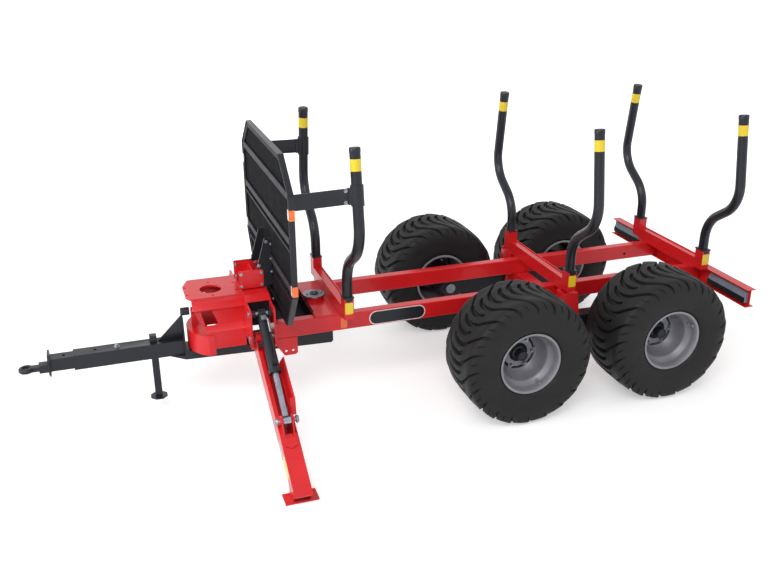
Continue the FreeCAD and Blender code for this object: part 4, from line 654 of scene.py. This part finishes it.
def section_at(rows, reach):
    """The section's point and normal at that length from the crown's middle, either side."""
    size = abs(reach)
    for (low, start, normal), (high, end, _) in zip(rows, rows[1:]):
        if size <= high + 1e-9:
            point = start.lerp(end, (size - low) / (high - low))
            break
    flip = -1 if reach < 0 else 1
    return Vector((point.x, point.y * flip, 0)), Vector((normal.x, normal.y * flip, 0))


def groove_at(reach):
    """(shift, half width at the top, half width at the floor, depth) of a groove at a row.

    reach runs from the groove's blind end, across the crown's middle, out to its own side wall.
    """
    if -NOTCH_END <= reach <= -NOTCH_START:
        share = math.sin(math.pi * (-reach - NOTCH_START) / (NOTCH_END - NOTCH_START)) ** 0.6
        return 0, NOTCH_WIDTH * share, NOTCH_WIDTH * share * 0.6, NOTCH_DEPTH * share
    if not -GROOVE_BLIND_END <= reach <= GROOVE_SIDE_END:
        return 0, 0, 0, 0
    width = read_table(GROOVE_WIDTHS, reach)
    into_end = (-GROOVE_ROUND - reach) / (GROOVE_BLIND_END - GROOVE_ROUND)
    if into_end > 0:
        width *= math.sqrt(max(0, 1 - into_end**2))
    depth = GROOVE_DEPTH * read_table(GROOVE_DEPTHS, reach)
    shift = -GROOVE_HOOK * max(0, -reach / GROOVE_BLIND_END) ** 2
    floor = max(0, width - 0.3 * depth)
    return shift, width, floor, depth


def groove_columns(reach, quarter):
    """(place along the tread, depth) across one groove and half the land on each side of it."""
    shift, width, floor, depth = groove_at(reach)
    edge = GROOVE_EDGE
    low = shift - width
    high = shift + width
    return [
        (-quarter, 0),
        ((low - edge - quarter) / 2, 0),
        (low - edge, 0),
        (low - edge / 3, 0.0004 if depth else 0),
        (low, 0.08 * depth),
        (shift - floor, depth),
        (shift, depth),
        (shift + floor, depth),
        (high, 0.08 * depth),
        (high + edge / 3, 0.0004 if depth else 0),
        (high + edge, 0),
        ((high + edge + quarter) / 2, 0),
    ]


def lug_drop(own, place, pitch):
    """How far the lug's top has stepped down, from its high edge to its low one."""
    drop = LUG_DROP * read_table(LUG_DROP_SHARES, abs(own))
    after = place / pitch if own > 0 else 0.5 + place / pitch
    return drop * (1 - after % 1.0)


def tread_rows(length):
    """Lengths from the crown's middle of the rows of points: close together at groove ends."""
    arm = [ARM_START + ARM_STEP * step for step in range(ARM_ROWS)]
    start = arm[-1] + 0.01
    wall = [start + (length - start) * step / WALL_ROWS for step in range(WALL_ROWS + 1)]
    half = list(BLIND_ROWS) + arm + wall
    return [-reach for reach in reversed(half[1:])] + half


def wall_ring(radius):
    """How far the side wall stands back at a radius: fine moulded rings."""
    back = 0
    for middle, height in WALL_RINGS:
        back += height * math.exp(-(((radius - middle) / RING_WIDTH) ** 2))
    return back


def wheel_spot(centre, radius, offset, angle):
    """A point at a radius and an offset along the axle, turned by angle from straight up."""
    return centre + Vector((radius * math.sin(angle), offset, radius * math.cos(angle)))


def tyre_mesh(name, centre, start):
    """The whole tread and both side walls, with the grooves cut between smooth lands."""
    rows = section_by_length()
    length = rows[-1][0]
    pitch = 2 * math.pi * TYRE_RADIUS / PITCHES
    shape = Shape()
    lines = []
    for reach in tread_rows(length):
        point, normal = section_at(rows, reach)
        lean = read_table(TREAD_LEAN, abs(reach))
        line = []
        for half_cell in range(2 * PITCHES):
            own = reach if half_cell % 2 == 0 else -reach
            for place, depth in groove_columns(own, pitch / 4):
                arc = half_cell * pitch / 2 + place - lean
                back = max(depth, lug_drop(own, place, pitch)) + wall_ring(point.x)
                spot = point - normal * back
                at = wheel_spot(centre, spot.x, spot.y, start + arc / TYRE_RADIUS)
                line.append(shape.work.verts.new(at))
        lines.append(line)
    shape.skin(lines, closed=True)
    return finish_mesh(name, shape.work, 30)


def make_tyre(end, side, start):
    node = f"tyre_{end}_{side}"
    mesh = tyre_mesh(f"treaded_{node}", middle_of(node), start)
    tyre = add_piece(mesh, f"wheel_{end}_{side}", "tyre")
    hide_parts(node)


# ---- wheels
def slot_open(step):
    """Whether a slot of the disc, between two lands, is open over this step."""
    turned = (step - LAND_TURN / (2 * math.pi) * RIM_STEPS) % (RIM_STEPS / SLOTS)
    margin = (RIM_STEPS / SLOTS - SLOT_STEPS) / 2
    return margin <= turned < margin + SLOT_STEPS


def make_rim(end, side, centre, out):
    """The pressed rim: lips, well, stepped bowl, slotted disc, and the tyre's valve."""
    section = RIM_FACE + RIM_BACK
    outer, inner = section.index(SLOT_OUTER), section.index(SLOT_INNER)
    back_inner = len(RIM_FACE) + 1
    back_outer = back_inner + 1
    shape = Shape()
    rows = []
    for step in range(RIM_STEPS):
        angle = 2 * math.pi * step / RIM_STEPS
        spots = [wheel_spot(centre, r, out * offset, angle) for r, offset in section]
        rows.append([shape.work.verts.new(spot) for spot in spots])
    faces = shape.work.faces
    for step in range(RIM_STEPS):
        row, following = rows[step], rows[(step + 1) % RIM_STEPS]
        is_open = slot_open(step)
        for index in range(len(section)):
            after = (index + 1) % len(section)
            if is_open and index in (outer, back_inner):
                continue
            faces.new((row[index], row[after], following[after], following[index]))
        if is_open:
            faces.new((row[outer], following[outer], following[back_outer], row[back_outer]))
            faces.new((row[inner], following[inner], following[back_inner], row[back_inner]))
        if is_open != slot_open((step + 1) % RIM_STEPS):
            corners = (outer, inner, back_inner, back_outer)
            faces.new([following[corner] for corner in corners])
    angle = math.radians(VALVE_TURNS[end])
    foot = wheel_spot(centre, VALVE_FOOT[0], out * VALVE_FOOT[1], angle)
    tip = wheel_spot(centre, VALVE_TIP[0], out * VALVE_TIP[1], angle)
    stem = facing(foot, tip - foot)
    length = (tip - foot).length
    outline = [(0.0, 0.0), (0.013, 0.0), (0.013, 0.01), (0.008, 0.013), (0.008, 0.03)]
    outline += [(0.01, 0.031), (0.01, length - 0.002), (0.0085, length), (0.0, length)]
    shape.turn(outline, stem, 14)
    return shape.piece(f"pressed_rim_{end}_{side}", "rim_grey", f"wheel_{end}_{side}", angle=30)


def make_hub(end, side, centre, out):
    """The dark hub behind the disc, and its toothed cap through the disc's middle."""
    place = facing(centre, (0, out, 0))
    shape = Shape()
    shape.turn(HUB, place, 48)
    for index in range(HUB_TEETH):
        turned = place @ Matrix.Rotation(math.radians(360 / HUB_TEETH * index), 4, "Z")
        shape.bar(HUB_TOOTH, turned @ Matrix.Translation(HUB_TOOTH_SPOT), 0.001)
    return shape.piece(f"hub_{end}_{side}", "black_paint", f"wheel_{end}_{side}")


def make_nuts(end, side, centre, out):
    """Six wheel nuts on the lands between the disc's slots."""
    shape = Shape()
    for index in range(SLOTS):
        angle = LAND_TURN + 2 * math.pi * index / SLOTS
        spot = wheel_spot(centre, NUT_CIRCLE, out * NUT_START, angle)
        shape.bolt(facing(spot, (0, out, 0), spot - centre), NUT_SIZE, 0.007)
    shape.piece(f"wheel_nuts_{end}_{side}", "steel", f"wheel_{end}_{side}")


def make_wheels():
    wheels = [(end, side, out) for end in ENDS for side, out in SIDES]
    for index, (end, side, out) in enumerate(wheels):
        centre = middle_of(f"tyre_{end}_{side}")
        make_tyre(end, side, TYRE_TURN * index)
        rim = make_rim(end, side, centre, out)
        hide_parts(f"rim_{end}_{side}")
        hub = make_hub(end, side, centre, out)
        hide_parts(f"rim_{end}_{side}")
        make_nuts(end, side, centre, out)


# ---- stakes and markings
def flip(out):
    """Leaves the left side as it is, and mirrors it for the right."""
    return Matrix.Diagonal((1, out, 1, 1))


def placed(out, spot, direction, along=UP):
    """As facing, for a place given on the left side and mirrored for the right."""
    return flip(out) @ facing(spot, direction, along)


def on_side(out, spot, face):
    """A place at spot, as (x, z), on a face that looks outwards, with its X axis forward."""
    return placed(out, (spot[0], face, spot[1]), LEFT, FORWARD)


def stake_axis(row):
    """The lower and upper end of the left stake's straight top."""
    low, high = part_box(f"bolster_{row}")
    x = (low.x + high.x) / 2
    across = high.y - SOCKET_HALF_DEPTH + STAKE_SWING
    return Vector((x, across, STAKE_BEND)), Vector((x, across - STAKE_LEAN, STAKE_TOP))


def make_stake_tops(row, side, out):
    """The reflecting band round the stake and the plastic cap on its end."""
    low, high = stake_axis(row)
    lean = (high - low).normalized()
    for name, finish, outline, spot in (
        ("band", "yellow_film", BAND_OUTLINE, high - lean * BAND_DROP),
        ("stake_cap", "black_paint", CAP_OUTLINE, high),
    ):
        shape = Shape()
        rings = [(STAKE_RADIUS + past, height) for past, height in outline]
        shape.turn(rings, placed(out, spot, lean, FORWARD), 40)
        shape.piece(f"{name}_{row}_{side}", finish)


def make_socket_marks(row, side, out):
    """The reflector on the socket's outer face, and the stake seen in the scoop of its top."""
    low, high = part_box(f"bolster_{row}")
    x = (low.x + high.x) / 2
    place = on_side(out, (x + 0.001, SOCKET_REFLECTOR_HEIGHT), high.y)
    add_patch(f"reflector_{row}_{side}", "yellow_film", place, *SOCKET_REFLECTOR)
    scoop = Shape()
    place = placed(out, (x, high.y - 0.0004, high.z), LEFT, BACKWARD)
    angles = [math.pi * step / 12 for step in range(13)]
    for step, scale in enumerate((1.0, 0.8)):
        across, down = SCOOP_SIZE[0] * scale, SCOOP_SIZE[1] * scale
        outline = [(across * math.cos(angle), -down * math.sin(angle)) for angle in angles]
        scoop.prism(outline, place, SCOOP_STEP * (step + 1), 0.0002)
    scoop.piece(f"socket_scoop_{row}_{side}", "black_paint")


def make_rail_marks(side, out):
    """On the rail: an orange reflector, a dull black disc that paints the shade in a hole, and a
    blank plate with a pale rim.
    """
    low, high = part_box("rail_left")
    place = on_side(out, RAIL_REFLECTOR_SPOT, high.y)
    add_patch(f"rail_reflector_{side}", "orange_film", place, *RAIL_REFLECTOR)
    hole = Shape()
    place = placed(out, (RAIL_HOLE_SPOT[0], low.y, RAIL_HOLE_SPOT[1]), RIGHT)
    hole.turn(RAIL_HOLE, place, 20)
    hole.piece(f"rail_hole_shade_{side}", "dull_black")
    place = on_side(out, PLATE_SPOT, high.y)
    add_patch(f"plate_rim_{side}", "white_film", place, *PLATE_RIM)
    add_patch(f"blank_plate_{side}", "black_paint", place, *BLANK_PLATE)


def make_board_marks(side, out):
    """Two orange reflectors on the headboard's side, each with a white one round its corner."""
    low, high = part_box("headboard")
    x = (low.x + high.x) / 2 + 0.001
    amber, white = Shape(), Shape()
    for height in BOARD_MARK_HEIGHTS:
        amber.patch(on_side(out, (x, height), high.y + EDGING), *AMBER_MARK)
        spot = (high.x + 0.002, high.y - BOARD_MARK_INSET, height)
        white.patch(placed(out, spot, FORWARD, LEFT), *WHITE_MARK)
    amber.piece(f"board_reflectors_{side}", "orange_film")
    white.piece(f"board_front_reflectors_{side}", "white_film")


def board_outline(low, high):
    """The headboard's eight corners, read from its box and the cuts across its corners."""
    corners = [
        (high.y - BOARD_TOP_CUT[0], high.z),
        (high.y, high.z - BOARD_TOP_CUT[1]),
        (high.y, low.z + BOARD_LOW_CUT[1]),
        (high.y - BOARD_LOW_CUT[0], low.z),
    ]
    return corners + [(-y, z) for y, z in reversed(corners)]


def make_board_trim():
    """A flat edging bent round the headboard's rim, and three level strips across its bars."""
    low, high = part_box("headboard")
    corners = board_outline(low, high)
    edging = Shape()
    for (y, z), (next_y, next_z) in zip(corners, corners[1:] + corners[:1]):
        start, end = Vector((0, y, z)), Vector((0, next_y, next_z))
        along = (end - start).normalized()
        outward = Vector((0, -along.z, along.y))
        middle = (start + end) / 2 + Vector(((low.x + high.x) / 2 + 0.0015, 0, 0))
        size = ((end - start).length + 0.002, high.x - low.x + 0.008, EDGING)
        edging.bar(size, facing(middle, outward, along), 0.001)
    edging.piece("board_edging", "black_paint")
    strips = Shape()
    for height in STRIP_HEIGHTS:
        strips.bar(STRIP_SIZE, facing((high.x - 0.004, 0, height), FORWARD, LEFT), 0.002)
    strips.piece("board_strips", "strip_black")


def make_arm_ends(side, out):
    """The arm's front end lapped over the headboard's edge, and two bolts at its sleeve."""
    low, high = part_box("headboard")
    place = on_side(out, ((low.x + high.x) / 2, ARM_LAP_HEIGHT), high.y + EDGING)
    add_patch(f"arm_lap_{side}", "black_paint", place, *ARM_LAP)
    bolts = Shape()
    along = (ARM_FRONT - ARM_REAR).normalized()
    outward = Vector((-along.y, along.x, 0))
    for rise in (-ARM_BOLT_RISE, ARM_BOLT_RISE):
        spot = ARM_REAR + along * ARM_BOLT_START + Vector((0, 0, rise))
        bolts.bolt(placed(out, spot, outward, (0.3, 0, 1)), BOLT)
    bolts.piece(f"arm_bolts_{side}", "steel")


def make_bolster_floors():
    """A raised floor between each bolster's lips, from socket to socket."""
    for row in ROWS:
        low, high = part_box(f"bolster_{row}")
        lip = low.z + BOLSTER_HEIGHT
        reach = high.y - 2 * SOCKET_HALF_DEPTH
        shape = Shape()
        place = facing(((low.x + high.x) / 2, 0, lip - 2 * BOLSTER_FLOOR), UP, LEFT)
        shape.bar((2 * reach, high.x - low.x - 2 * BOLSTER_WALL, BOLSTER_FLOOR), place, 0.003)
        shape.piece(f"bolster_floor_{row}", "red_paint")


def make_pivot_shade_plates():
    """Painted shade: dull black plates behind, under and beside the gap at the pivot plates' front
    edge, where the gap lies in shade.
    """
    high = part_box("pivot_plates")[1]
    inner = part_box("rail_left")[0].y
    middle_x = high.x + PIVOT_SHADE_LENGTH / 2
    shape = Shape()
    place = facing((high.x - 0.004, 0, PIVOT_SHADE_BACK_HEIGHT), FORWARD, LEFT)
    shape.bar((2 * inner - 0.001, 0.13, 0.003), place, 0.001)
    place = facing((middle_x, 0, PIVOT_SHADE_FLOOR_HEIGHT), UP, FORWARD)
    shape.bar((PIVOT_SHADE_LENGTH, 2 * inner - 0.001, 0.003), place, 0.001)
    for _, out in SIDES:
        spot = (middle_x, inner - 0.001, PIVOT_SHADE_SIDE_HEIGHT)
        shape.bar((PIVOT_SHADE_LENGTH, 0.1, 0.002), placed(out, spot, RIGHT, FORWARD), 0.0008)
    shape.piece("pivot_shade_plates", "dull_black")


def make_leg_frame_shade_plate(side, out):
    """Painted shade: a dull black plate inside the leg frame, for its unlit inside; and spacers on
    each side of the ram's eye.
    """
    front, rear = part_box("leg_frame_front")[0].x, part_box("leg_frame_rear")[1].x
    shade_plate = Shape()
    place = on_side(out, ((front + rear) / 2, LEG_SHADE_PLATE_HEIGHT), LEG_SHADE_PLATE_ACROSS)
    shade_plate.bar((front - rear - 0.001, 0.173, 0.003), place, 0.001)
    shade_plate.piece(f"leg_frame_shade_plate_{side}", "dull_black")
    low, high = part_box(f"ram_barrel_{side}")
    spacers = Shape()
    rear_length = low.x - rear - SPACER_GAP
    front_start = high.x + SPACER_GAP
    for x, length in ((rear, rear_length), (front_start, front - high.x - SPACER_GAP)):
        outline = [(0, 0), (SPACER_RADIUS, 0), (SPACER_RADIUS, length), (0, length)]
        spacers.turn(outline, placed(out, (x, RAM_PIN.y, RAM_PIN.z), FORWARD), 28)
    spacers.piece(f"pin_spacers_{side}", "black_paint")


def make_markings():
    make_board_trim()
    make_bolster_floors()
    # Dull black plates paint the shade at the pivot gap and inside the leg frames.
    make_pivot_shade_plates()
    for side, out in SIDES:
        make_leg_frame_shade_plate(side, out)
    for side, out in SIDES:
        make_arm_ends(side, out)
        make_rail_marks(side, out)
        make_board_marks(side, out)
        for row in ROWS:
            make_stake_tops(row, side, out)
            make_socket_marks(row, side, out)


# ---- fastenings
def make_board_fastenings(side, out):
    """The clamp's cover, and the bolts through the headboard, its bracket and the clamp."""
    low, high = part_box("headboard")
    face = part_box("headboard_brackets")[1].y
    clamp_low, clamp_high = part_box("clamp_plates")
    middle_x = (clamp_low.x + clamp_high.x) / 2 + 0.01
    middle_z = (clamp_low.z + clamp_high.z) / 2 + 0.01
    place = on_side(out, (middle_x, middle_z), face + 0.0005)
    add_patch(f"clamp_cover_{side}", "red_paint", place, *CLAMP_COVER)
    shape = Shape()
    for z in BOARD_BOLT_HEIGHTS:
        y = face + BOARD_BOLT_OUT
        shape.bolt(placed(out, (high.x, y, z), FORWARD, (0, 0.3, 1)), BOLT)
        shape.bolt(placed(out, (low.x, y, z), BACKWARD, (0, 0.3, 1)), BOLT, 0.009)
    for x, z, size in BRACKET_BOLTS:
        shape.bolt(placed(out, (x, face, z), LEFT), size)
    for x in (middle_x - CLAMP_BOLT_REACH, middle_x + CLAMP_BOLT_REACH):
        for z in CLAMP_BOLT_HEIGHTS:
            spot = (x, face + CLAMP_COVER_THICK + 0.0005, z)
            shape.bolt(placed(out, spot, LEFT, (0.4, 0, 1)), SMALL_BOLT)
            spot = (x, clamp_high.y - 0.01, z)
            shape.bolt(placed(out, spot, RIGHT, (0.4, 0, 1)), BOLT, 0.008)
    shape.piece(f"board_bolts_{side}", "steel")


def make_king_pin_top():
    """The grease point in the middle of the king pin's cap, with its two screws."""
    low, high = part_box("king_pin")
    centre = Vector(((low.x + high.x) / 2, 0, high.z))
    body = body_of("king_pin")
    socket = Shape()
    socket.turn(GREASE_RING, facing(centre, UP, FORWARD), 32)
    socket.piece("king_pin_socket", "black_paint", body)
    screws = Shape()
    for x in (-KING_PIN_SCREW_REACH, KING_PIN_SCREW_REACH):
        spot = centre + Vector((x, 0.006, 0))
        screws.bolt(facing(spot, UP, (1, 0.3, 0)), SMALL_BOLT)
    screws.turn(GREASE_NIPPLE, facing(centre, UP, FORWARD), 14)
    screws.piece("king_pin_screws", "steel", body)


def make_lock_bolt():
    """The hexagon bolt through the drawbar's tube, with its washers and nut."""
    low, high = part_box("lock_bolt")
    bottom, top = (corner.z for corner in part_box("drawbar_tube"))
    x = (low.x + high.x) / 2
    shape = Shape()
    shape.bolt(facing((x, 0, top), UP, (1, 0.4, 0)), LOCK_BOLT)
    shape.bolt(facing((x, 0, bottom), DOWN, (1, 0.2, 0)), LOCK_BOLT, 0.006)
    shank = [(LOCK_BOLT_RADIUS, 0), (LOCK_BOLT_RADIUS, top - bottom)]
    shape.turn(shank, facing((x, 0, bottom), UP, FORWARD), 20)
    piece = shape.piece("lock_bolt_finished", "steel", body_of("lock_bolt"))
    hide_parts("lock_bolt")


def leg_point(along, up, x=LEG_X):
    """A point of the lowered left leg, from its distance along the leg and above its middle."""
    across = LEG_PIVOT[0] + along * math.cos(LEG_ANGLE) + up * math.sin(LEG_ANGLE)
    height = LEG_PIVOT[1] - along * math.sin(LEG_ANGLE) + up * math.cos(LEG_ANGLE)
    return Vector((x, across, height))


def make_leg_details(side, out):
    """Pin heads, the gusset below the ears, and two blank stickers on the leg's front."""
    body = f"leg_{side}"
    outwards = Vector((0, math.cos(LEG_ANGLE), -math.sin(LEG_ANGLE)))
    upwards = Vector((0, math.sin(LEG_ANGLE), math.cos(LEG_ANGLE)))
    pins = Shape()
    for facing_x in (1, -1):
        spot = (LEG_X + PIN_HEAD_START * facing_x, ROD_PIN.y, ROD_PIN.z)
        pins.turn(PIN_HEAD, placed(out, spot, (facing_x, 0, 0)), 28)
    pins.piece(f"rod_pin_heads_{side}", "steel", body)
    gusset = Shape()
    place = placed(out, leg_point(GUSSET_START, GUSSET_UP), upwards, outwards)
    gusset.prism(GUSSET, place, 0.005, 0.0015)
    gusset.piece(f"ear_gusset_{side}", "red_paint", body)
    front = LEG_X + LEG_HALF_WIDTH
    for name, finish, start, length, low, width in STICKERS:
        spot = leg_point(start + length / 2, low + width / 2, front)
        place = placed(out, spot, FORWARD, outwards)
        add_patch(f"{name}_{side}", finish, place, (length, width), *STICKER_EDGES, body=body)


def make_ram_details(side, out):
    """Two oil ports with plugged fittings, a short rigid oil pipe, and the gland's ring."""
    body = f"barrel_{side}"
    run = (ROD_PIN - RAM_PIN).normalized()
    upwards = Vector((0, -run.z, run.y))
    blocks, fittings = Shape(), Shape()
    for shape, port in ((blocks, LOW_PORT), (fittings, TOP_PORT)):
        foot = RAM_PIN + run * port["along"] + upwards * port["up"]
        shape.bar(port["size"], placed(out, foot, upwards, run), port["edge"])
        top = foot + upwards * port["size"][2]
        shape.bolt(placed(out, top, upwards, run), port["bolt"])
    aside = Vector(BACKWARD)
    start = foot + upwards * 0.012 + aside * 0.01
    bends = [start + aside * a + run * r + upwards * u for a, r, u in PIPE_BENDS]
    fittings.tube_along([flip(out) @ point for point in curve_through(bends, 4)], PIPE_RADIUS)
    blocks.turn(GLAND_RING, placed(out, RAM_PIN + run * GLAND_START, run, FORWARD), 36)
    blocks.piece(f"ram_ports_{side}", "black_paint", body)
    fittings.piece(f"ram_fittings_{side}", "steel", body)


def make_fastenings():
    make_king_pin_top()
    make_lock_bolt()
    for side, out in SIDES:
        make_board_fastenings(side, out)
        make_leg_details(side, out)
        make_ram_details(side, out)


# ---- lamps
def add_lens(shape, place, width, height):
    """A lens with level ribs, in the face of its housing."""
    shape.patch(place, (width, height - 0.012), 0.006, 0.006, 0.002)
    for index in range(LENS_RIBS):
        rise = (height - 0.024) * (index / (LENS_RIBS - 1) - 0.5)
        rib = place @ Matrix.Translation((0, rise, 0.0055))
        shape.bar((width - 0.012, 0.005, 0.0016), rib, 0.0008)


def make_tail_lamps():
    """Ribbed lenses, red inboard and amber outboard, in dark housings."""
    low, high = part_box("tail_lamps")
    height = high.z - low.z
    housing, red, amber = Shape(), Shape(), Shape()
    for _, out in SIDES:
        spot = (high.x, high.y - LAMP_LENGTH / 2, (low.z + high.z) / 2)
        place = placed(out, spot, BACKWARD, LEFT)
        housing.patch(place, (LAMP_LENGTH, height), 0.008, 0.017, 0.003)
        for shape, (across, width) in ((red, RED_LENS), (amber, AMBER_LENS)):
            add_lens(shape, place @ Matrix.Translation((across, 0, 0.0165)), width, height)
    body = body_of("tail_lamps")
    piece = housing.piece("lamp_housings", "black_paint", body)
    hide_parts("tail_lamps")
    red.piece("tail_lenses", "lamp_red", body)
    amber.piece("turn_lenses", "orange_film", body)


def make_cover_shade_strips():
    """Painted shade: a dull black strip over the lower half of each pale lamp cover, in the beam's
    front recess.
    """
    low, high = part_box("lamp_covers")
    height = high.z - low.z
    shape = Shape()
    for _, out in SIDES:
        spot = (high.x, high.y - COVER_LENGTH / 2, low.z + height * 0.25)
        place = placed(out, spot, FORWARD, LEFT)
        shape.patch(place, (COVER_LENGTH, height * 0.48), 0.003, 0.002, 0.0006)
    shape.piece("cover_shade_strips", "dull_black", body_of("lamp_covers"))


# ---- stage
def make_camera():
    data = bpy.data.cameras.new("camera")
    data.lens = CAMERA_LENS
    camera = add_object("camera", data)
    level = math.cos(CAMERA_DIP)
    look = Vector((level * math.cos(CAMERA_YAW), level * math.sin(CAMERA_YAW), -math.sin(CAMERA_DIP)))
    roll = Matrix.Rotation(-CAMERA_ROLL, 4, "Z")
    turn = look.to_track_quat("-Z", "Y").to_matrix().to_4x4()
    camera.matrix_world = Matrix.Translation(CAMERA_PLACE) @ turn @ roll
    bpy.context.scene.camera = camera


def add_area_light(name, place, target, size, power, shines=True):
    """A soft rectangular lamp; where shines is false, no glare of it shows on the paint."""
    data = bpy.data.lights.new(name, "AREA")
    data.shape = "RECTANGLE"
    data.size, data.size_y = size
    data.energy = power
    light = add_object(name, data)
    light.location = place
    aim = Vector(target) - Vector(place)
    light.rotation_euler = aim.to_track_quat("-Z", "Y").to_euler()
    light.visible_camera = False
    light.visible_glossy = shines


def shown_share(tree):
    """1 for what the camera sees directly, in a reflection or through glass, else 0."""
    path = tree.nodes.new("ShaderNodeLightPath")
    total = path.outputs["Is Camera Ray"]
    for ray in ("Is Glossy Ray", "Is Transmission Ray"):
        larger = tree.nodes.new("ShaderNodeMath")
        larger.operation = "MAXIMUM"
        tree.links.new(total, larger.inputs[0])
        tree.links.new(path.outputs[ray], larger.inputs[1])
        total = larger.outputs["Value"]
    return total


def make_world():
    """A soft even sky that looks white."""
    world = bpy.data.worlds.new("studio")
    bpy.context.scene.world = world
    world.use_nodes = True
    tree = world.node_tree
    strength = map_range(tree, shown_share(tree), (0, 1), (SKY_STRENGTH, 1))
    background = tree.nodes["Background"]
    background.inputs["Color"].default_value = (1, 1, 1, 1)
    tree.links.new(strength, background.inputs["Strength"])


def make_floor():
    """A wide pale floor: lit, shaded by the trailer, and fading to white far from it."""
    work = bmesh.new()
    bmesh.ops.create_circle(work, cap_ends=True, segments=64, radius=FLOOR_RADIUS)
    mesh = mesh_of("floor", work)
    floor = add_object("floor", mesh)
    floor.location.z = -0.001
    values = {"Base_Color": (0.82, 0.82, 0.82, 1), "Roughness": 0.9, "Specular_IOR_Level": 0.1}
    finish = Finish("pale_floor", Emission_Color=(1, 1, 1, 1), **values)
    distance = finish.add("ShaderNodeVectorMath")
    distance.operation = "LENGTH"
    finish.link(finish.place, distance.inputs[0])
    lift = map_range(finish.tree, distance.outputs["Value"], FLOOR_REACH, (FLOOR_LIFT, 1))
    shown = finish.add("ShaderNodeMath")
    shown.operation = "MULTIPLY"
    finish.link(shown_share(finish.tree), shown.inputs[0])
    finish.link(lift, shown.inputs[1])
    finish.link(shown.outputs["Value"], finish.shader.inputs["Emission Strength"])
    mesh.materials.append(finish.material)


def make_stage():
    make_camera()
    make_world()
    make_floor()
    add_area_light("key", (3.5, 6.5, 7.5), (0, 0, 0.6), (5, 4), 470)
    add_area_light("front", (7.5, 1.5, 4.0), (0.5, 0, 0.7), (4, 4), 230)
    add_area_light("fill", (-6.5, 4.5, 4.5), (-0.5, 0, 0.7), (4, 4), 60)
    add_area_light("rim_light", (-1.5, -8.5, 6.0), (0, 0, 0.7), (9, 4), 300, shines=False)
    bpy.context.scene.view_settings.view_transform = "Standard"


# ---- dressing
EDGE_WIDTHS = {"rail_left": 0.006, "rail_right": 0.006}
PLAIN_EDGE = 0.0015
OWN_FINISHES = {"headboard": "dull_black"}
REMADE = ("tyre_", "rim_", "lock_bolt", "tail_lamps")


def dress_nodes():
    for node in sorted(frame["nodes"]):
        if not node.startswith(REMADE):
            soften(node, EDGE_WIDTHS.get(node, PLAIN_EDGE))


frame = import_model()
MATERIALS = make_materials()
dress_nodes()
make_wheels()
make_markings()
make_fastenings()
make_tail_lamps()
# Dull black strips paint the shade on the lamp covers' lower faces.
make_cover_shade_strips()
make_stage()
